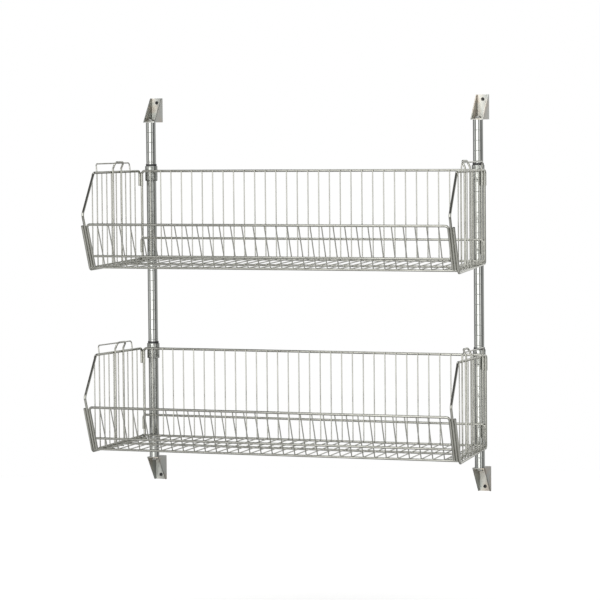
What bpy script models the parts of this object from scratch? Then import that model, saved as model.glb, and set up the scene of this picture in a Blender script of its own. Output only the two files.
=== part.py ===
"""Wall-mounted cantilever unit: two grooved posts carrying two long wire baskets.

Frame: the wall is the plane Y = 0 and the room is at -Y, +X runs to the right along
the wall and +Z is up. The origin lies on the wall, midway between the posts and
midway up them. Lengths are metres.

Each basket hangs on two collars. A collar drops over a tapered split sleeve, whose
rib sits in one groove of the post, so the load wedges it tight and a lift frees it.
"""
import math

import bmesh
import bpy
from mathutils import Vector

MM = 0.001

# Clearances shared by every pair of pieces that meet.
GAP = 0.3 * MM
WELD_SINK = 0.9 * MM
OVERRUN = 5.0 * MM

# Posts: steel tube with a groove every inch.
POST_DIAMETER = 25.4 * MM
POST_WALL = 1.5 * MM
POST_LENGTH = 863.6 * MM
POST_SPACING = 889.0 * MM
POST_STANDOFF = 41.0 * MM
POST_SIDES = 10
GROOVE_PITCH = 25.4 * MM
GROOVE_DEPTH = 0.8 * MM
GROOVE_WIDTH = 3.2 * MM

# Threaded plug in each post end, and the bolt that holds the bracket to it.
PLUG_LENGTH = 18.0 * MM
BOLT_DIAMETER = 8.0 * MM
BOLT_LENGTH = 18.0 * MM
BOLT_HEAD_FLATS = 13.0 * MM
BOLT_HEAD_HEIGHT = 5.3 * MM
BOLT_SIDES = 10
HEX_SIDES = 6

# Folded wall bracket: back plate, two sloping cheeks and a seat across the post end.
BRACKET_WIDTH = 33.0 * MM
BRACKET_HEIGHT = 62.0 * MM
SEAT_AHEAD_OF_POST = 11.0 * MM
BRACKET_TIP_DEPTH = 8.0 * MM
BRACKET_SHEET = 2.5 * MM
BRACKET_FOLD = 1.6 * MM
WALL_HOLE_DIAMETER = 9.0 * MM
WALL_HOLE_INSET = 11.6 * MM
HOLE_SIDES = 16

# Split sleeves: two plastic halves per post, wider at the foot than at the head.
SLEEVE_HEIGHT = 42.0 * MM
SLEEVE_HEAD_RADIUS = 13.9 * MM
SLEEVE_FOOT_RADIUS = 14.7 * MM
SLEEVE_RIB_HEIGHT = 0.6 * MM
SLEEVE_RIB_WIDTH = 2.2 * MM
SLEEVE_SLIT = 1.2 * MM
SLEEVE_SIDES = 16

# Collars welded behind the basket's back rim.
COLLAR_DIAMETER = 32.0 * MM
COLLAR_HEIGHT = 38.0 * MM
COLLAR_ABOVE_RIM = 12.4 * MM
COLLAR_CHAMFER = 1.0 * MM
COLLAR_CHAMFER_RISE = 3.0 * MM
SLEEVE_ABOVE_COLLAR = 5.3 * MM

# Places of the two baskets, in grooves down from the post's head and up from its foot.
UPPER_GROOVES_DOWN = 5
LOWER_GROOVES_UP = 11
RIM_ABOVE_GROOVE = 2.6 * MM

# Wire gauges.
FRAME_WIRE = 6.4 * MM
RAIL_WIRE = 5.0 * MM
SIDE_WIRE = 4.0 * MM
MESH_WIRE = 2.9 * MM

# Basket outline. Depths run forward from the rim's centre line, drops run down from it,
# and rises run up from the floor's level at its toe. The floor climbs from its toe to its
# back edge by the back lift. The nose is the foremost bend of an end panel.
COLLAR_INSET = 24.5 * MM
END_FLARE = 15.0 * MM
NOSE_DEPTH = 307.0 * MM
TOP_SETBACK = 61.0 * MM
TOE_SETBACK = 49.5 * MM
FLOOR_DROP = 235.0 * MM
BACK_LIFT = 11.0 * MM
NOSE_DROP = 103.0 * MM
LIP_BELOW_NOSE = 25.0 * MM
TOE_BELOW_FLOOR = 5.0 * MM
FRONT_RAIL_RISE = 27.0 * MM
BACK_RAIL_RISE = 63.0 * MM

# Mat of bent wires, spread evenly between margins at the two end panels.
MAT_WIRES = 31
MAT_MARGIN = 33.0 * MM
MAT_BEND = 6.0 * MM
MAT_TOP_RISE = 2.0 * MM
MAT_BEND_STEPS = 1

# Uprights of the end panels, spaced one inch apart from the back.
UPRIGHT_PITCH = 25.4 * MM
UPRIGHT_START = 19.0 * MM
UPRIGHT_BEND = 5.0 * MM
FOOT_OVERLAP = 4.0 * MM
GUARD_RISE = 22.0 * MM
GUARD_FLARE = 2.5 * MM
GUARD_BEND = 7.0 * MM

# Bent ends and corners of the frame wires.
LEG_DROP = 38.0 * MM
BACK_RAIL_LEG = 37.0 * MM
CORNER_BEND = 8.0 * MM
NOSE_BEND = 14.0 * MM
CUT_END_BELOW_LIP = 3.0 * MM
SIDE_WIRE_INSET = 8.0 * MM
CORNER_STEPS = 2

# Carrying handles inside the end panels.
HANDLE_WIDTH = 43.6 * MM
HANDLE_RISE = 25.0 * MM
HANDLE_LEAN = 7.6 * MM
HANDLE_SHOULDER_RISE = 9.0 * MM
HANDLE_BEND = 8.0 * MM

WELD_DISTANCE = 0.02 * MM
SMOOTH_ANGLE = math.radians(40.0)
HALF_TURN = math.pi
FULL_TURN = 2.0 * math.pi

# Sizes worked out from the ones above.
POST_RADIUS = POST_DIAMETER / 2
POST_FOOT = -POST_LENGTH / 2
POST_X = POST_SPACING / 2
POST_GROOVES = round(POST_LENGTH / GROOVE_PITCH) - 1
BRACKET_SEAT_DEPTH = POST_STANDOFF + SEAT_AHEAD_OF_POST
FRAME_RADIUS = FRAME_WIRE / 2
RAIL_RADIUS = RAIL_WIRE / 2
SIDE_RADIUS = SIDE_WIRE / 2
MESH_RADIUS = MESH_WIRE / 2
COLLAR_RADIUS = COLLAR_DIAMETER / 2
RIM_Y = -(POST_STANDOFF + COLLAR_RADIUS + FRAME_RADIUS + GAP)
BACK_HALF_LENGTH = POST_X + COLLAR_INSET
SPLAY = math.atan2(END_FLARE, NOSE_DEPTH)
TOP_DEPTH = NOSE_DEPTH - TOP_SETBACK
TOE_DEPTH = NOSE_DEPTH - TOE_SETBACK
LEAN = math.atan2(TOE_SETBACK, FLOOR_DROP + TOE_BELOW_FLOOR - NOSE_DROP)
SIN_LEAN = math.sin(LEAN)
COS_LEAN = math.cos(LEAN)
LIP_DROP = NOSE_DROP + LIP_BELOW_NOSE
LIP_DEPTH = NOSE_DEPTH - LIP_BELOW_NOSE * math.tan(LEAN)
FRONT_RAIL_DROP = FLOOR_DROP - FRONT_RAIL_RISE
BACK_RAIL_DROP = FLOOR_DROP - BACK_RAIL_RISE
UPRIGHTS = int((TOE_DEPTH - UPRIGHT_START) / UPRIGHT_PITCH) + 1
GUARD_FIRST = 1
GUARD_LAST = UPRIGHTS - 2
HANDLE_CENTRE = UPRIGHT_START + UPRIGHT_PITCH * (UPRIGHTS - 1) / 2
FRAME_SIDE_STEP = FRAME_WIRE + GAP
MAT_OFFSET = FRAME_RADIUS + MESH_RADIUS + GAP
UPRIGHT_OUT = FRAME_RADIUS + MESH_RADIUS - WELD_SINK
HANDLE_OUT = -(FRAME_RADIUS + RAIL_RADIUS + GAP)
FEET_DROP = FLOOR_DROP + MESH_WIRE + GAP
BASE_DROP = FEET_DROP + MESH_RADIUS + FRAME_RADIUS - WELD_SINK
SIDE_DROP = FEET_DROP - (MESH_RADIUS + SIDE_RADIUS + GAP)
BASE_BACK_OUT = -FRAME_SIDE_STEP / 2
BASE_BACK_DEPTH = -(FRAME_RADIUS + RAIL_RADIUS + GAP)


def clear_scene():
    """Remove whatever the open file holds, so that the part is built from nothing."""
    for old in list(bpy.data.objects):
        bpy.data.objects.remove(old, do_unlink=True)


def make_collection(name):
    """Return a new collection linked to the scene."""
    collection = bpy.data.collections.new(name)
    bpy.context.scene.collection.children.link(collection)
    return collection


def make_material(name, colour, roughness, metallic):
    """Return a Principled material of one colour, roughness and metallic value."""
    material = bpy.data.materials.new(name)
    material.use_nodes = True
    shader = material.node_tree.nodes["Principled BSDF"]
    shader.inputs["Base Color"].default_value = (*colour, 1.0)
    shader.inputs["Roughness"].default_value = roughness
    shader.inputs["Metallic"].default_value = metallic
    material.diffuse_color = (*colour, 1.0)
    return material


clear_scene()
PARTS = make_collection("cantilever_wire_basket")
CUTTERS = make_collection("cutters")

CHROME_WIRE = make_material("bright_wire", (0.63, 0.64, 0.62), 0.22, 1.0)
CHROME_TUBE = make_material("bright_tube", (0.66, 0.67, 0.66), 0.16, 1.0)
ZINC_SHEET = make_material("zinc_sheet", (0.60, 0.59, 0.55), 0.30, 1.0)
ZINC_BOLT = make_material("zinc_bolt", (0.55, 0.54, 0.50), 0.35, 1.0)
BLACK_PLASTIC = make_material("black_plastic", (0.02, 0.02, 0.02), 0.45, 0.0)


def finish(part, material, parent):
    """Give a mesh object its material, smooth shading, collection and parent."""
    part.data.materials.clear()
    part.data.materials.append(material)
    part.data.shade_smooth()
    part.data.set_sharp_from_angle(angle=SMOOTH_ANGLE)
    if part.name not in PARTS.objects:
        PARTS.objects.link(part)
    part.parent = parent
    return part


def as_cutter(tool):
    """Put a tool body in the cutters' collection and hide it from renders."""
    CUTTERS.objects.link(tool)
    tool.hide_render = True
    tool.display_type = "WIRE"
    return tool


def apply_boolean(part, tool, operation):
    """Add a Boolean modifier that joins or cuts a part with a tool body."""
    boolean = part.modifiers.new(operation.lower(), "BOOLEAN")
    boolean.operation = operation
    boolean.solver = "EXACT"
    boolean.object = tool


def rounded(corners, radii, steps):
    """Return a route whose inner corners are bent to the given radii.

    corners is the list of points, radii has one bend radius for each inner corner and
    steps is the number of straight pieces that make up each bend.
    """
    route = [corners[0]]
    for before, corner, after, radius in zip(corners, corners[1:], corners[2:], radii):
        back = (before - corner).normalized()
        ahead = (after - corner).normalized()
        turn = HALF_TURN - back.angle(ahead)
        reach = radius * math.tan(turn / 2)
        start = corner + back * reach
        centre = corner + (back + ahead).normalized() * (radius / math.cos(turn / 2))
        first = start - centre
        side = (-back) * radius
        for step in range(steps + 1):
            angle = turn * step / steps
            route.append(centre + first * math.cos(angle) + side * math.sin(angle))
    route.append(corners[-1])
    return route


def wire_mesh(name, routes, diameter, resolution):
    """Return a mesh of round wires, one for each route, with closed ends."""
    curve = bpy.data.curves.new(name, "CURVE")
    curve.dimensions = "3D"
    curve.bevel_depth = diameter / 2
    curve.bevel_resolution = resolution
    curve.use_fill_caps = True
    for route in routes:
        spline = curve.splines.new("POLY")
        spline.points.add(len(route) - 1)
        for point, place in zip(spline.points, route):
            point.co = (*place, 1.0)
    holder = bpy.data.objects.new(name + "_curve", curve)
    bpy.context.scene.collection.objects.link(holder)
    graph = bpy.context.evaluated_depsgraph_get()
    mesh = bpy.data.meshes.new_from_object(holder.evaluated_get(graph))
    bpy.data.objects.remove(holder, do_unlink=True)
    bpy.data.curves.remove(curve)
    solid = bmesh.new()
    solid.from_mesh(mesh)
    bmesh.ops.remove_doubles(solid, verts=solid.verts, dist=WELD_DISTANCE)
    bmesh.ops.recalc_face_normals(solid, faces=solid.faces)
    solid.to_mesh(mesh)
    solid.free()
    mesh.name = name
    return mesh


def wire(name, routes, diameter, parent, place=(0, 0, 0), turn=0.0, resolution=2):
    """Make a node of round wire from its routes, given in the node's own frame."""
    part = bpy.data.objects.new(name, wire_mesh(name, routes, diameter, resolution))
    part.location = place
    part.rotation_euler = (0, 0, turn)
    return finish(part, CHROME_WIRE, parent)


def weld_to(part, name, routes, diameter, resolution=2):
    """Join a part with further wires that share its frame and its parent."""
    tool = bpy.data.objects.new(name, wire_mesh(name, routes, diameter, resolution))
    as_cutter(tool)
    tool.parent = part.parent
    tool.location = part.location
    tool.rotation_euler = part.rotation_euler
    apply_boolean(part, tool, "UNION")


def turned(name, profile, sides):
    """Return an object whose closed profile, at +X, is turned once round its Z axis."""
    mesh = bpy.data.meshes.new(name)
    count = len(profile)
    points = [(radius, 0, height) for radius, height in profile]
    mesh.from_pydata(points, [(i, (i + 1) % count) for i in range(count)], [])
    part = bpy.data.objects.new(name, mesh)
    screw = part.modifiers.new("turn", "SCREW")
    screw.axis = "Z"
    screw.angle = FULL_TURN
    screw.steps = sides
    screw.render_steps = sides
    screw.use_merge_vertices = True
    screw.merge_threshold = WELD_DISTANCE
    return part


def rod(name, radius, length, sides):
    """Return an upright round rod as a mesh, centred on its own origin."""
    mesh = bpy.data.meshes.new(name)
    solid = bmesh.new()
    bmesh.ops.create_cone(solid, cap_ends=True, segments=sides, radius1=radius, radius2=radius,
                          depth=length)
    solid.to_mesh(mesh)
    solid.free()
    return mesh


def block(name, size):
    """Return a box as a mesh, centred on its own origin."""
    mesh = bpy.data.meshes.new(name)
    solid = bmesh.new()
    bmesh.ops.create_cube(solid, size=1.0)
    bmesh.ops.scale(solid, vec=size, verts=solid.verts)
    solid.to_mesh(mesh)
    solid.free()
    return mesh


def groove_heights():
    """Return the heights of a post's foot and of its grooves, measured from the foot."""
    return [number * GROOVE_PITCH for number in range(POST_GROOVES + 1)]


def make_post(side_name, side):
    """Make one grooved post, an open tube that stands between its two brackets."""
    inner = POST_RADIUS - POST_WALL
    floor = POST_RADIUS - GROOVE_DEPTH
    profile = [(POST_RADIUS, POST_LENGTH)]
    for middle in reversed(groove_heights()[1:]):
        profile.append((POST_RADIUS, middle + GROOVE_WIDTH / 2))
        profile.append((floor, middle))
        profile.append((POST_RADIUS, middle - GROOVE_WIDTH / 2))
    profile.append((POST_RADIUS, 0))
    profile.append((inner, 0))
    profile.append((inner, POST_LENGTH))
    post = turned(f"post_{side_name}", profile, POST_SIDES)
    post.location = (side * POST_X, -POST_STANDOFF, POST_FOOT)
    finish(post, CHROME_TUBE, None)


def make_plug(name, side, end):
    """Make the threaded plug pressed into one end of a post."""
    outer = POST_RADIUS - POST_WALL - GAP
    bore = BOLT_DIAMETER / 2 + GAP
    profile = [(outer, 0), (outer, -PLUG_LENGTH), (bore, -PLUG_LENGTH), (bore, 0)]
    plug = turned(name, profile, POST_SIDES)
    plug.location = (side * POST_X, -POST_STANDOFF, end * POST_LENGTH / 2)
    if end < 0:
        plug.rotation_euler = (HALF_TURN, 0, 0)
    finish(plug, ZINC_BOLT, None)


def make_bracket(name, side, end):
    """Make a folded wall bracket whose seat lies across one end of a post.

    The sheet starts as a box standing on the seat, without its front and top. The far
    end of each cheek is drawn back to the tip depth, and the surface is then thickened
    inward, rounded at its folds and drilled for the wall screw and the post's bolt.
    """
    mesh = block(name, (BRACKET_WIDTH, BRACKET_SEAT_DEPTH, BRACKET_HEIGHT))
    sheet = bmesh.new()
    sheet.from_mesh(mesh)
    for corner in sheet.verts:
        corner.co.y -= BRACKET_SEAT_DEPTH / 2
        corner.co.z += BRACKET_HEIGHT / 2
    open_sides = [face for face in sheet.faces if face.normal.y < -0.5 or face.normal.z > 0.5]
    bmesh.ops.delete(sheet, geom=open_sides, context="FACES_ONLY")
    for corner in sheet.verts:
        if corner.co.z > BRACKET_HEIGHT / 2 and corner.co.y < -BRACKET_SEAT_DEPTH / 2:
            corner.co.y = -BRACKET_TIP_DEPTH
    sheet.to_mesh(mesh)
    sheet.free()
    bracket = bpy.data.objects.new(name, mesh)
    thicken = bracket.modifiers.new("sheet", "SOLIDIFY")
    thicken.thickness = BRACKET_SHEET
    thicken.offset = -1
    thicken.solidify_mode = "NON_MANIFOLD"
    thicken.nonmanifold_thickness_mode = "CONSTRAINTS"
    fold = bracket.modifiers.new("folds", "BEVEL")
    fold.width = BRACKET_FOLD
    fold.segments = 1
    fold.limit_method = "WEIGHT"
    mark_folds(mesh)
    flip = 0 if end > 0 else HALF_TURN
    seat = end * (POST_LENGTH / 2 + GAP)
    bracket.location = (side * POST_X, 0, seat)
    bracket.rotation_euler = (0, flip, 0)
    wall_hole = bpy.data.objects.new(
        name + "_wall_hole",
        rod(name + "_wall_hole", WALL_HOLE_DIAMETER / 2, BRACKET_SHEET + OVERRUN, HOLE_SIDES))
    wall_hole.rotation_euler = (HALF_TURN / 2, 0, 0)
    wall_hole.location = (side * POST_X, -BRACKET_SHEET / 2,
                          seat + end * (BRACKET_HEIGHT - WALL_HOLE_INSET))
    bolt_hole = bpy.data.objects.new(
        name + "_bolt_hole",
        rod(name + "_bolt_hole", BOLT_DIAMETER / 2 + GAP, BRACKET_SHEET + OVERRUN, HOLE_SIDES))
    bolt_hole.location = (side * POST_X, -POST_STANDOFF, seat + end * BRACKET_SHEET / 2)
    apply_boolean(bracket, as_cutter(wall_hole), "DIFFERENCE")
    apply_boolean(bracket, as_cutter(bolt_hole), "DIFFERENCE")
    finish(bracket, ZINC_SHEET, None)


def mark_folds(mesh):
    """Give the folded edges of a bracket's sheet their bevel weight."""
    weights = mesh.attributes.new("bevel_weight_edge", "FLOAT", "EDGE")
    uses = {tuple(sorted(edge.vertices)): 0 for edge in mesh.edges}
    for face in mesh.polygons:
        for pair in face.edge_keys:
            uses[tuple(sorted(pair))] += 1
    for edge in mesh.edges:
        folded = uses[tuple(sorted(edge.vertices))] > 1
        weights.data[edge.index].value = 1.0 if folded else 0.0


def make_bolt(name, side, end):
    """Make the hexagon bolt that runs through a bracket's seat into the post's plug."""
    head_radius = BOLT_HEAD_FLATS / 2 / math.cos(math.pi / HEX_SIDES)
    bolt = bpy.data.objects.new(name, rod(name, head_radius, BOLT_HEAD_HEIGHT, HEX_SIDES))
    under_head = POST_LENGTH / 2 + BRACKET_SHEET + GAP + GAP
    bolt.location = (side * POST_X, -POST_STANDOFF, end * (under_head + BOLT_HEAD_HEIGHT / 2))
    shank_length = BOLT_LENGTH + BOLT_HEAD_HEIGHT / 2
    shank = bpy.data.objects.new(
        name + "_shank", rod(name + "_shank", BOLT_DIAMETER / 2, shank_length, BOLT_SIDES))
    shank.location = (side * POST_X, -POST_STANDOFF,
                      end * (under_head + BOLT_HEAD_HEIGHT / 2 - shank_length / 2))
    apply_boolean(bolt, as_cutter(shank), "UNION")
    finish(bolt, ZINC_BOLT, None)


def rim_height(groove_height):
    """Return the height of a basket's rim above the origin, from its groove's height."""
    return POST_FOOT + groove_height + RIM_ABOVE_GROOVE


def sleeve_foot_below_rim():
    """Return how far a sleeve's foot lies below the rim."""
    return SLEEVE_HEIGHT - COLLAR_ABOVE_RIM - SLEEVE_ABOVE_COLLAR


def make_sleeve_half(name, side, groove, half):
    """Make the front or back half of a tapered split sleeve round one post."""
    inner = POST_RADIUS + GAP
    rib = inner - SLEEVE_RIB_HEIGHT
    rib_middle = sleeve_foot_below_rim() - RIM_ABOVE_GROOVE
    profile = [(SLEEVE_HEAD_RADIUS, SLEEVE_HEIGHT), (SLEEVE_FOOT_RADIUS, 0), (inner, 0),
               (inner, rib_middle - SLEEVE_RIB_WIDTH / 2), (rib, rib_middle),
               (inner, rib_middle + SLEEVE_RIB_WIDTH / 2), (inner, SLEEVE_HEIGHT)]
    sleeve = turned(name, profile, SLEEVE_SIDES)
    foot = rim_height(groove) - sleeve_foot_below_rim()
    sleeve.location = (side * POST_X, -POST_STANDOFF, foot)
    width = 2 * SLEEVE_FOOT_RADIUS + OVERRUN
    cut = bpy.data.objects.new(
        name + "_cut", block(name + "_cut", (width, width, SLEEVE_HEIGHT + OVERRUN)))
    cut.location = (side * POST_X, -POST_STANDOFF - half * (width / 2 - SLEEVE_SLIT / 2),
                    foot + SLEEVE_HEIGHT / 2)
    apply_boolean(sleeve, as_cutter(cut), "DIFFERENCE")
    finish(sleeve, BLACK_PLASTIC, None)


def make_collar(name, side, parent):
    """Make a collar whose bore follows the sleeve's taper with a small clearance."""
    taper = (SLEEVE_FOOT_RADIUS - SLEEVE_HEAD_RADIUS) / SLEEVE_HEIGHT
    foot = COLLAR_ABOVE_RIM - COLLAR_HEIGHT
    bore_foot = SLEEVE_FOOT_RADIUS + GAP - (foot + sleeve_foot_below_rim()) * taper
    bore_head = bore_foot - COLLAR_HEIGHT * taper
    profile = [(COLLAR_RADIUS, COLLAR_ABOVE_RIM), (COLLAR_RADIUS, foot + COLLAR_CHAMFER_RISE),
               (COLLAR_RADIUS - COLLAR_CHAMFER / 2, foot), (bore_foot, foot),
               (bore_head, COLLAR_ABOVE_RIM)]
    collar = turned(name, profile, SLEEVE_SIDES)
    collar.location = (side * POST_X, 0, 0)
    finish(collar, CHROME_TUBE, parent)


def front_point(along, inward):
    """Return depth and drop of a point in the sloping front.

    along runs down the front from the lip's centre line and inward runs square to the
    front into the basket.
    """
    depth = LIP_DEPTH - along * SIN_LEAN - inward * COS_LEAN
    drop = LIP_DROP + along * COS_LEAN - inward * SIN_LEAN
    return depth, drop


def along_front(drop, inward=0.0):
    """Return the distance down the front at which a line has the given drop."""
    return (drop - LIP_DROP + inward * SIN_LEAN) / COS_LEAN


def mat_toe():
    """Return depth and drop of the sharp corner between the mat's floor and its front."""
    return front_point(along_front(FLOOR_DROP, MAT_OFFSET), MAT_OFFSET)


def floor_lift(depth):
    """Return how far the sloping floor stands above its toe at a depth."""
    toe_depth, toe_drop = mat_toe()
    return (toe_depth - depth) * BACK_LIFT / TOE_DEPTH


def mat_heel():
    """Return depth and drop of the sharp corner between the mat's back and its floor."""
    return MAT_OFFSET, FLOOR_DROP - floor_lift(MAT_OFFSET)


def crook(before, corner, after):
    """Return depth and drop of the wire that lies outside the bend at a mat's corner."""
    corner = Vector(corner)
    back = (Vector(before) - corner).normalized()
    ahead = (Vector(after) - corner).normalized()
    outward = -(back + ahead).normalized()
    turn = HALF_TURN - back.angle(ahead)
    flat = MAT_BEND * math.cos(turn / 2 / MAT_BEND_STEPS)
    reach = flat + MESH_RADIUS + RAIL_RADIUS + GAP - MAT_BEND / math.cos(turn / 2)
    place = corner + outward * reach
    return place.x, place.y


def front_foot():
    """Return depth and drop of the foot wire under the mat's toe."""
    return crook(mat_heel(), mat_toe(), front_point(0.0, MAT_OFFSET))


def back_foot():
    """Return depth and drop of the foot wire behind and under the mat's heel."""
    return crook((MAT_OFFSET, 0.0), mat_heel(), mat_toe())


def front_end_along():
    """Return how far down the front its wires run before they meet the foot wire."""
    depth, drop = front_foot()
    return (LIP_DEPTH - depth) * SIN_LEAN + (drop - LIP_DROP) * COS_LEAN - RAIL_RADIUS - GAP


def end_x(depth, out=0.0):
    """Return the distance from the basket's middle to an end panel at a depth."""
    return BACK_HALF_LENGTH + depth * math.tan(SPLAY) + out


def basket_point(x, depth, drop):
    """Return a point of a basket, in the frame of its parent empty."""
    return Vector((x, RIM_Y + POST_STANDOFF - depth, -drop))


def make_mat(prefix, parent):
    """Make the wire mat: bent wires from rim to floor to lip, tied by one floor wire."""
    routes = []
    stops = ((MAT_OFFSET, -MAT_TOP_RISE), mat_heel(), mat_toe(), front_point(0.0, MAT_OFFSET))
    last = (MAT_WIRES - 1) / 2
    for number in range(MAT_WIRES):
        place = (number - last) / last
        corners = []
        for depth, drop in stops:
            corners.append(basket_point(place * end_x(depth, -MAT_MARGIN), depth, drop))
        routes.append(rounded(corners, (MAT_BEND, MAT_BEND), MAT_BEND_STEPS))
    mat = wire(f"{prefix}_wire_mat", routes, MESH_WIRE, parent, resolution=1)
    between = UPRIGHTS // 2 - 0.5
    tie_depth = UPRIGHT_START + between * UPRIGHT_PITCH
    tie_drop = FLOOR_DROP - floor_lift(tie_depth) + MESH_RADIUS + RAIL_RADIUS - WELD_SINK
    tie_half = end_x(tie_depth, RAIL_WIRE - MAT_MARGIN)
    tie = [basket_point(-tie_half, tie_depth, tie_drop), basket_point(tie_half, tie_depth, tie_drop)]
    weld_to(mat, f"{prefix}_floor_tie", [tie], RAIL_WIRE, resolution=1)


def make_rim(prefix, parent):
    """Make the back rim, a wire whose ends turn down beside the end frames."""
    half = end_x(0.0, -FRAME_SIDE_STEP)
    corners = [basket_point(-half, 0.0, LEG_DROP), basket_point(-half, 0.0, 0.0),
               basket_point(half, 0.0, 0.0), basket_point(half, 0.0, LEG_DROP)]
    route = rounded(corners, (CORNER_BEND, CORNER_BEND), CORNER_STEPS)
    wire(f"{prefix}_rim_wire", [route], FRAME_WIRE, parent)


def make_lip(prefix, parent):
    """Make the front lip, a wire whose ends turn down the sloping front corners."""
    end_depth, end_drop = front_point(front_end_along(), 0.0)
    top_half = end_x(LIP_DEPTH, -FRAME_SIDE_STEP)
    end_half = end_x(end_depth, -FRAME_SIDE_STEP)
    corners = [basket_point(-end_half, end_depth, end_drop),
               basket_point(-top_half, LIP_DEPTH, LIP_DROP),
               basket_point(top_half, LIP_DEPTH, LIP_DROP),
               basket_point(end_half, end_depth, end_drop)]
    route = rounded(corners, (CORNER_BEND, CORNER_BEND), CORNER_STEPS)
    wire(f"{prefix}_lip_wire", [route], FRAME_WIRE, parent)


def make_back_rail(prefix, parent):
    """Make the lower back wire, whose ends turn down in front of the base frames."""
    half = end_x(0.0, BASE_BACK_OUT)
    foot = BACK_RAIL_DROP + BACK_RAIL_LEG
    corners = [basket_point(-half, 0.0, foot), basket_point(-half, 0.0, BACK_RAIL_DROP),
               basket_point(half, 0.0, BACK_RAIL_DROP), basket_point(half, 0.0, foot)]
    rail_shift = Vector((0, -(FRAME_RADIUS - RAIL_RADIUS), 0))
    route = rounded([corner + rail_shift for corner in corners], (CORNER_BEND, CORNER_BEND),
                    CORNER_STEPS)
    wire(f"{prefix}_back_rail", [route], RAIL_WIRE, parent)


def make_straight_rails(prefix, parent):
    """Make the three straight lengthwise wires: back foot, front rail and front foot."""
    shift = FRAME_RADIUS - RAIL_RADIUS
    depth, drop = back_foot()
    half = end_x(depth, BASE_BACK_OUT) + RAIL_RADIUS
    wire(f"{prefix}_back_foot_wire",
         [[basket_point(-half, depth, drop), basket_point(half, depth, drop)]],
         RAIL_WIRE, parent)
    depth, drop = front_point(along_front(FRONT_RAIL_DROP), shift)
    half = end_x(depth, -FRAME_SIDE_STEP) - FRAME_RADIUS - GAP
    wire(f"{prefix}_front_rail",
         [[basket_point(-half, depth, drop), basket_point(half, depth, drop)]],
         RAIL_WIRE, parent)
    depth, drop = front_foot()
    half = end_x(depth, FRAME_RADIUS)
    wire(f"{prefix}_front_foot_wire",
         [[basket_point(-half, depth, drop), basket_point(half, depth, drop)]],
         RAIL_WIRE, parent)


def panel_point(side, out, depth, drop):
    """Return a point of an end panel in its own frame, splayed with the panel."""
    return Vector((side * out, -depth / math.cos(SPLAY), -drop))


def upright_route(side, depth, top, inner_out):
    """Return one panel wire, from its head down to its foot under the floor mat."""
    feet = FEET_DROP - floor_lift(depth)
    corners = [panel_point(side, UPRIGHT_OUT, depth, top),
               panel_point(side, UPRIGHT_OUT, depth, feet),
               panel_point(side, inner_out, depth, feet)]
    return rounded(corners, (UPRIGHT_BEND,), 1)


def guard_route(side, rear, front, inner_out):
    """Return the panel wire that rises above the rim as a low guard rail."""
    bar_out = UPRIGHT_OUT + GUARD_FLARE
    rear_feet = FEET_DROP - floor_lift(rear)
    front_feet = FEET_DROP - floor_lift(front)
    corners = [panel_point(side, inner_out, rear, rear_feet),
               panel_point(side, UPRIGHT_OUT, rear, rear_feet),
               panel_point(side, UPRIGHT_OUT, rear, 0.0),
               panel_point(side, bar_out, rear, -GUARD_RISE),
               panel_point(side, bar_out, front, -GUARD_RISE),
               panel_point(side, UPRIGHT_OUT, front, 0.0),
               panel_point(side, UPRIGHT_OUT, front, front_feet),
               panel_point(side, inner_out, front, front_feet)]
    head = rounded(corners[2:6], (GUARD_BEND, GUARD_BEND), CORNER_STEPS)
    rear_foot = rounded(corners[0:3], (UPRIGHT_BEND,), 1)
    front_foot_bend = rounded(corners[5:8], (UPRIGHT_BEND,), 1)
    return rear_foot[:-1] + head + front_foot_bend[1:]


def make_end_panel(prefix, side_name, side, parent):
    """Make an end panel: end frame, base frame and ten upright wires, welded together."""
    place = basket_point(side * BACK_HALF_LENGTH, 0.0, 0.0)
    end_depth, end_drop = front_point(front_end_along(), 0.0)
    frame = rounded([panel_point(side, 0.0, 0.0, LEG_DROP), panel_point(side, 0.0, 0.0, 0.0),
                     panel_point(side, 0.0, TOP_DEPTH, 0.0),
                     panel_point(side, 0.0, NOSE_DEPTH, NOSE_DROP),
                     panel_point(side, 0.0, end_depth, end_drop)],
                    (CORNER_BEND, CORNER_BEND, NOSE_BEND), CORNER_STEPS)
    cut_depth, cut_drop = front_point(CUT_END_BELOW_LIP, 0.0)
    toe_depth, toe_drop = front_point(along_front(BASE_DROP), 0.0)
    back_drop = BASE_DROP - floor_lift(BASE_BACK_DEPTH)
    base = rounded([panel_point(side, FRAME_SIDE_STEP, cut_depth, cut_drop),
                    panel_point(side, FRAME_SIDE_STEP, toe_depth, toe_drop),
                    panel_point(side, BASE_BACK_OUT, BASE_BACK_DEPTH, back_drop),
                    panel_point(side, BASE_BACK_OUT, BASE_BACK_DEPTH, FRAME_RADIUS)],
                   (CORNER_BEND, CORNER_BEND), CORNER_STEPS)
    panel = wire(f"{prefix}_end_panel_{side_name}", [frame, base], FRAME_WIRE, parent,
                 place=place, turn=side * SPLAY)
    inner_out = -(MAT_MARGIN + FOOT_OVERLAP)
    routes = []
    for number in range(UPRIGHTS):
        if number in (GUARD_FIRST, GUARD_LAST):
            continue
        depth = UPRIGHT_START + number * UPRIGHT_PITCH
        top = -MAT_TOP_RISE
        if depth > TOP_DEPTH:
            top = (depth - TOP_DEPTH) * NOSE_DROP / (NOSE_DEPTH - TOP_DEPTH)
        routes.append(upright_route(side, depth, top, inner_out))
    rear = UPRIGHT_START + GUARD_FIRST * UPRIGHT_PITCH
    front = UPRIGHT_START + GUARD_LAST * UPRIGHT_PITCH
    routes.append(guard_route(side, rear, front, inner_out))
    weld_to(panel, f"{prefix}_uprights_{side_name}", routes, MESH_WIRE, resolution=1)


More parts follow.
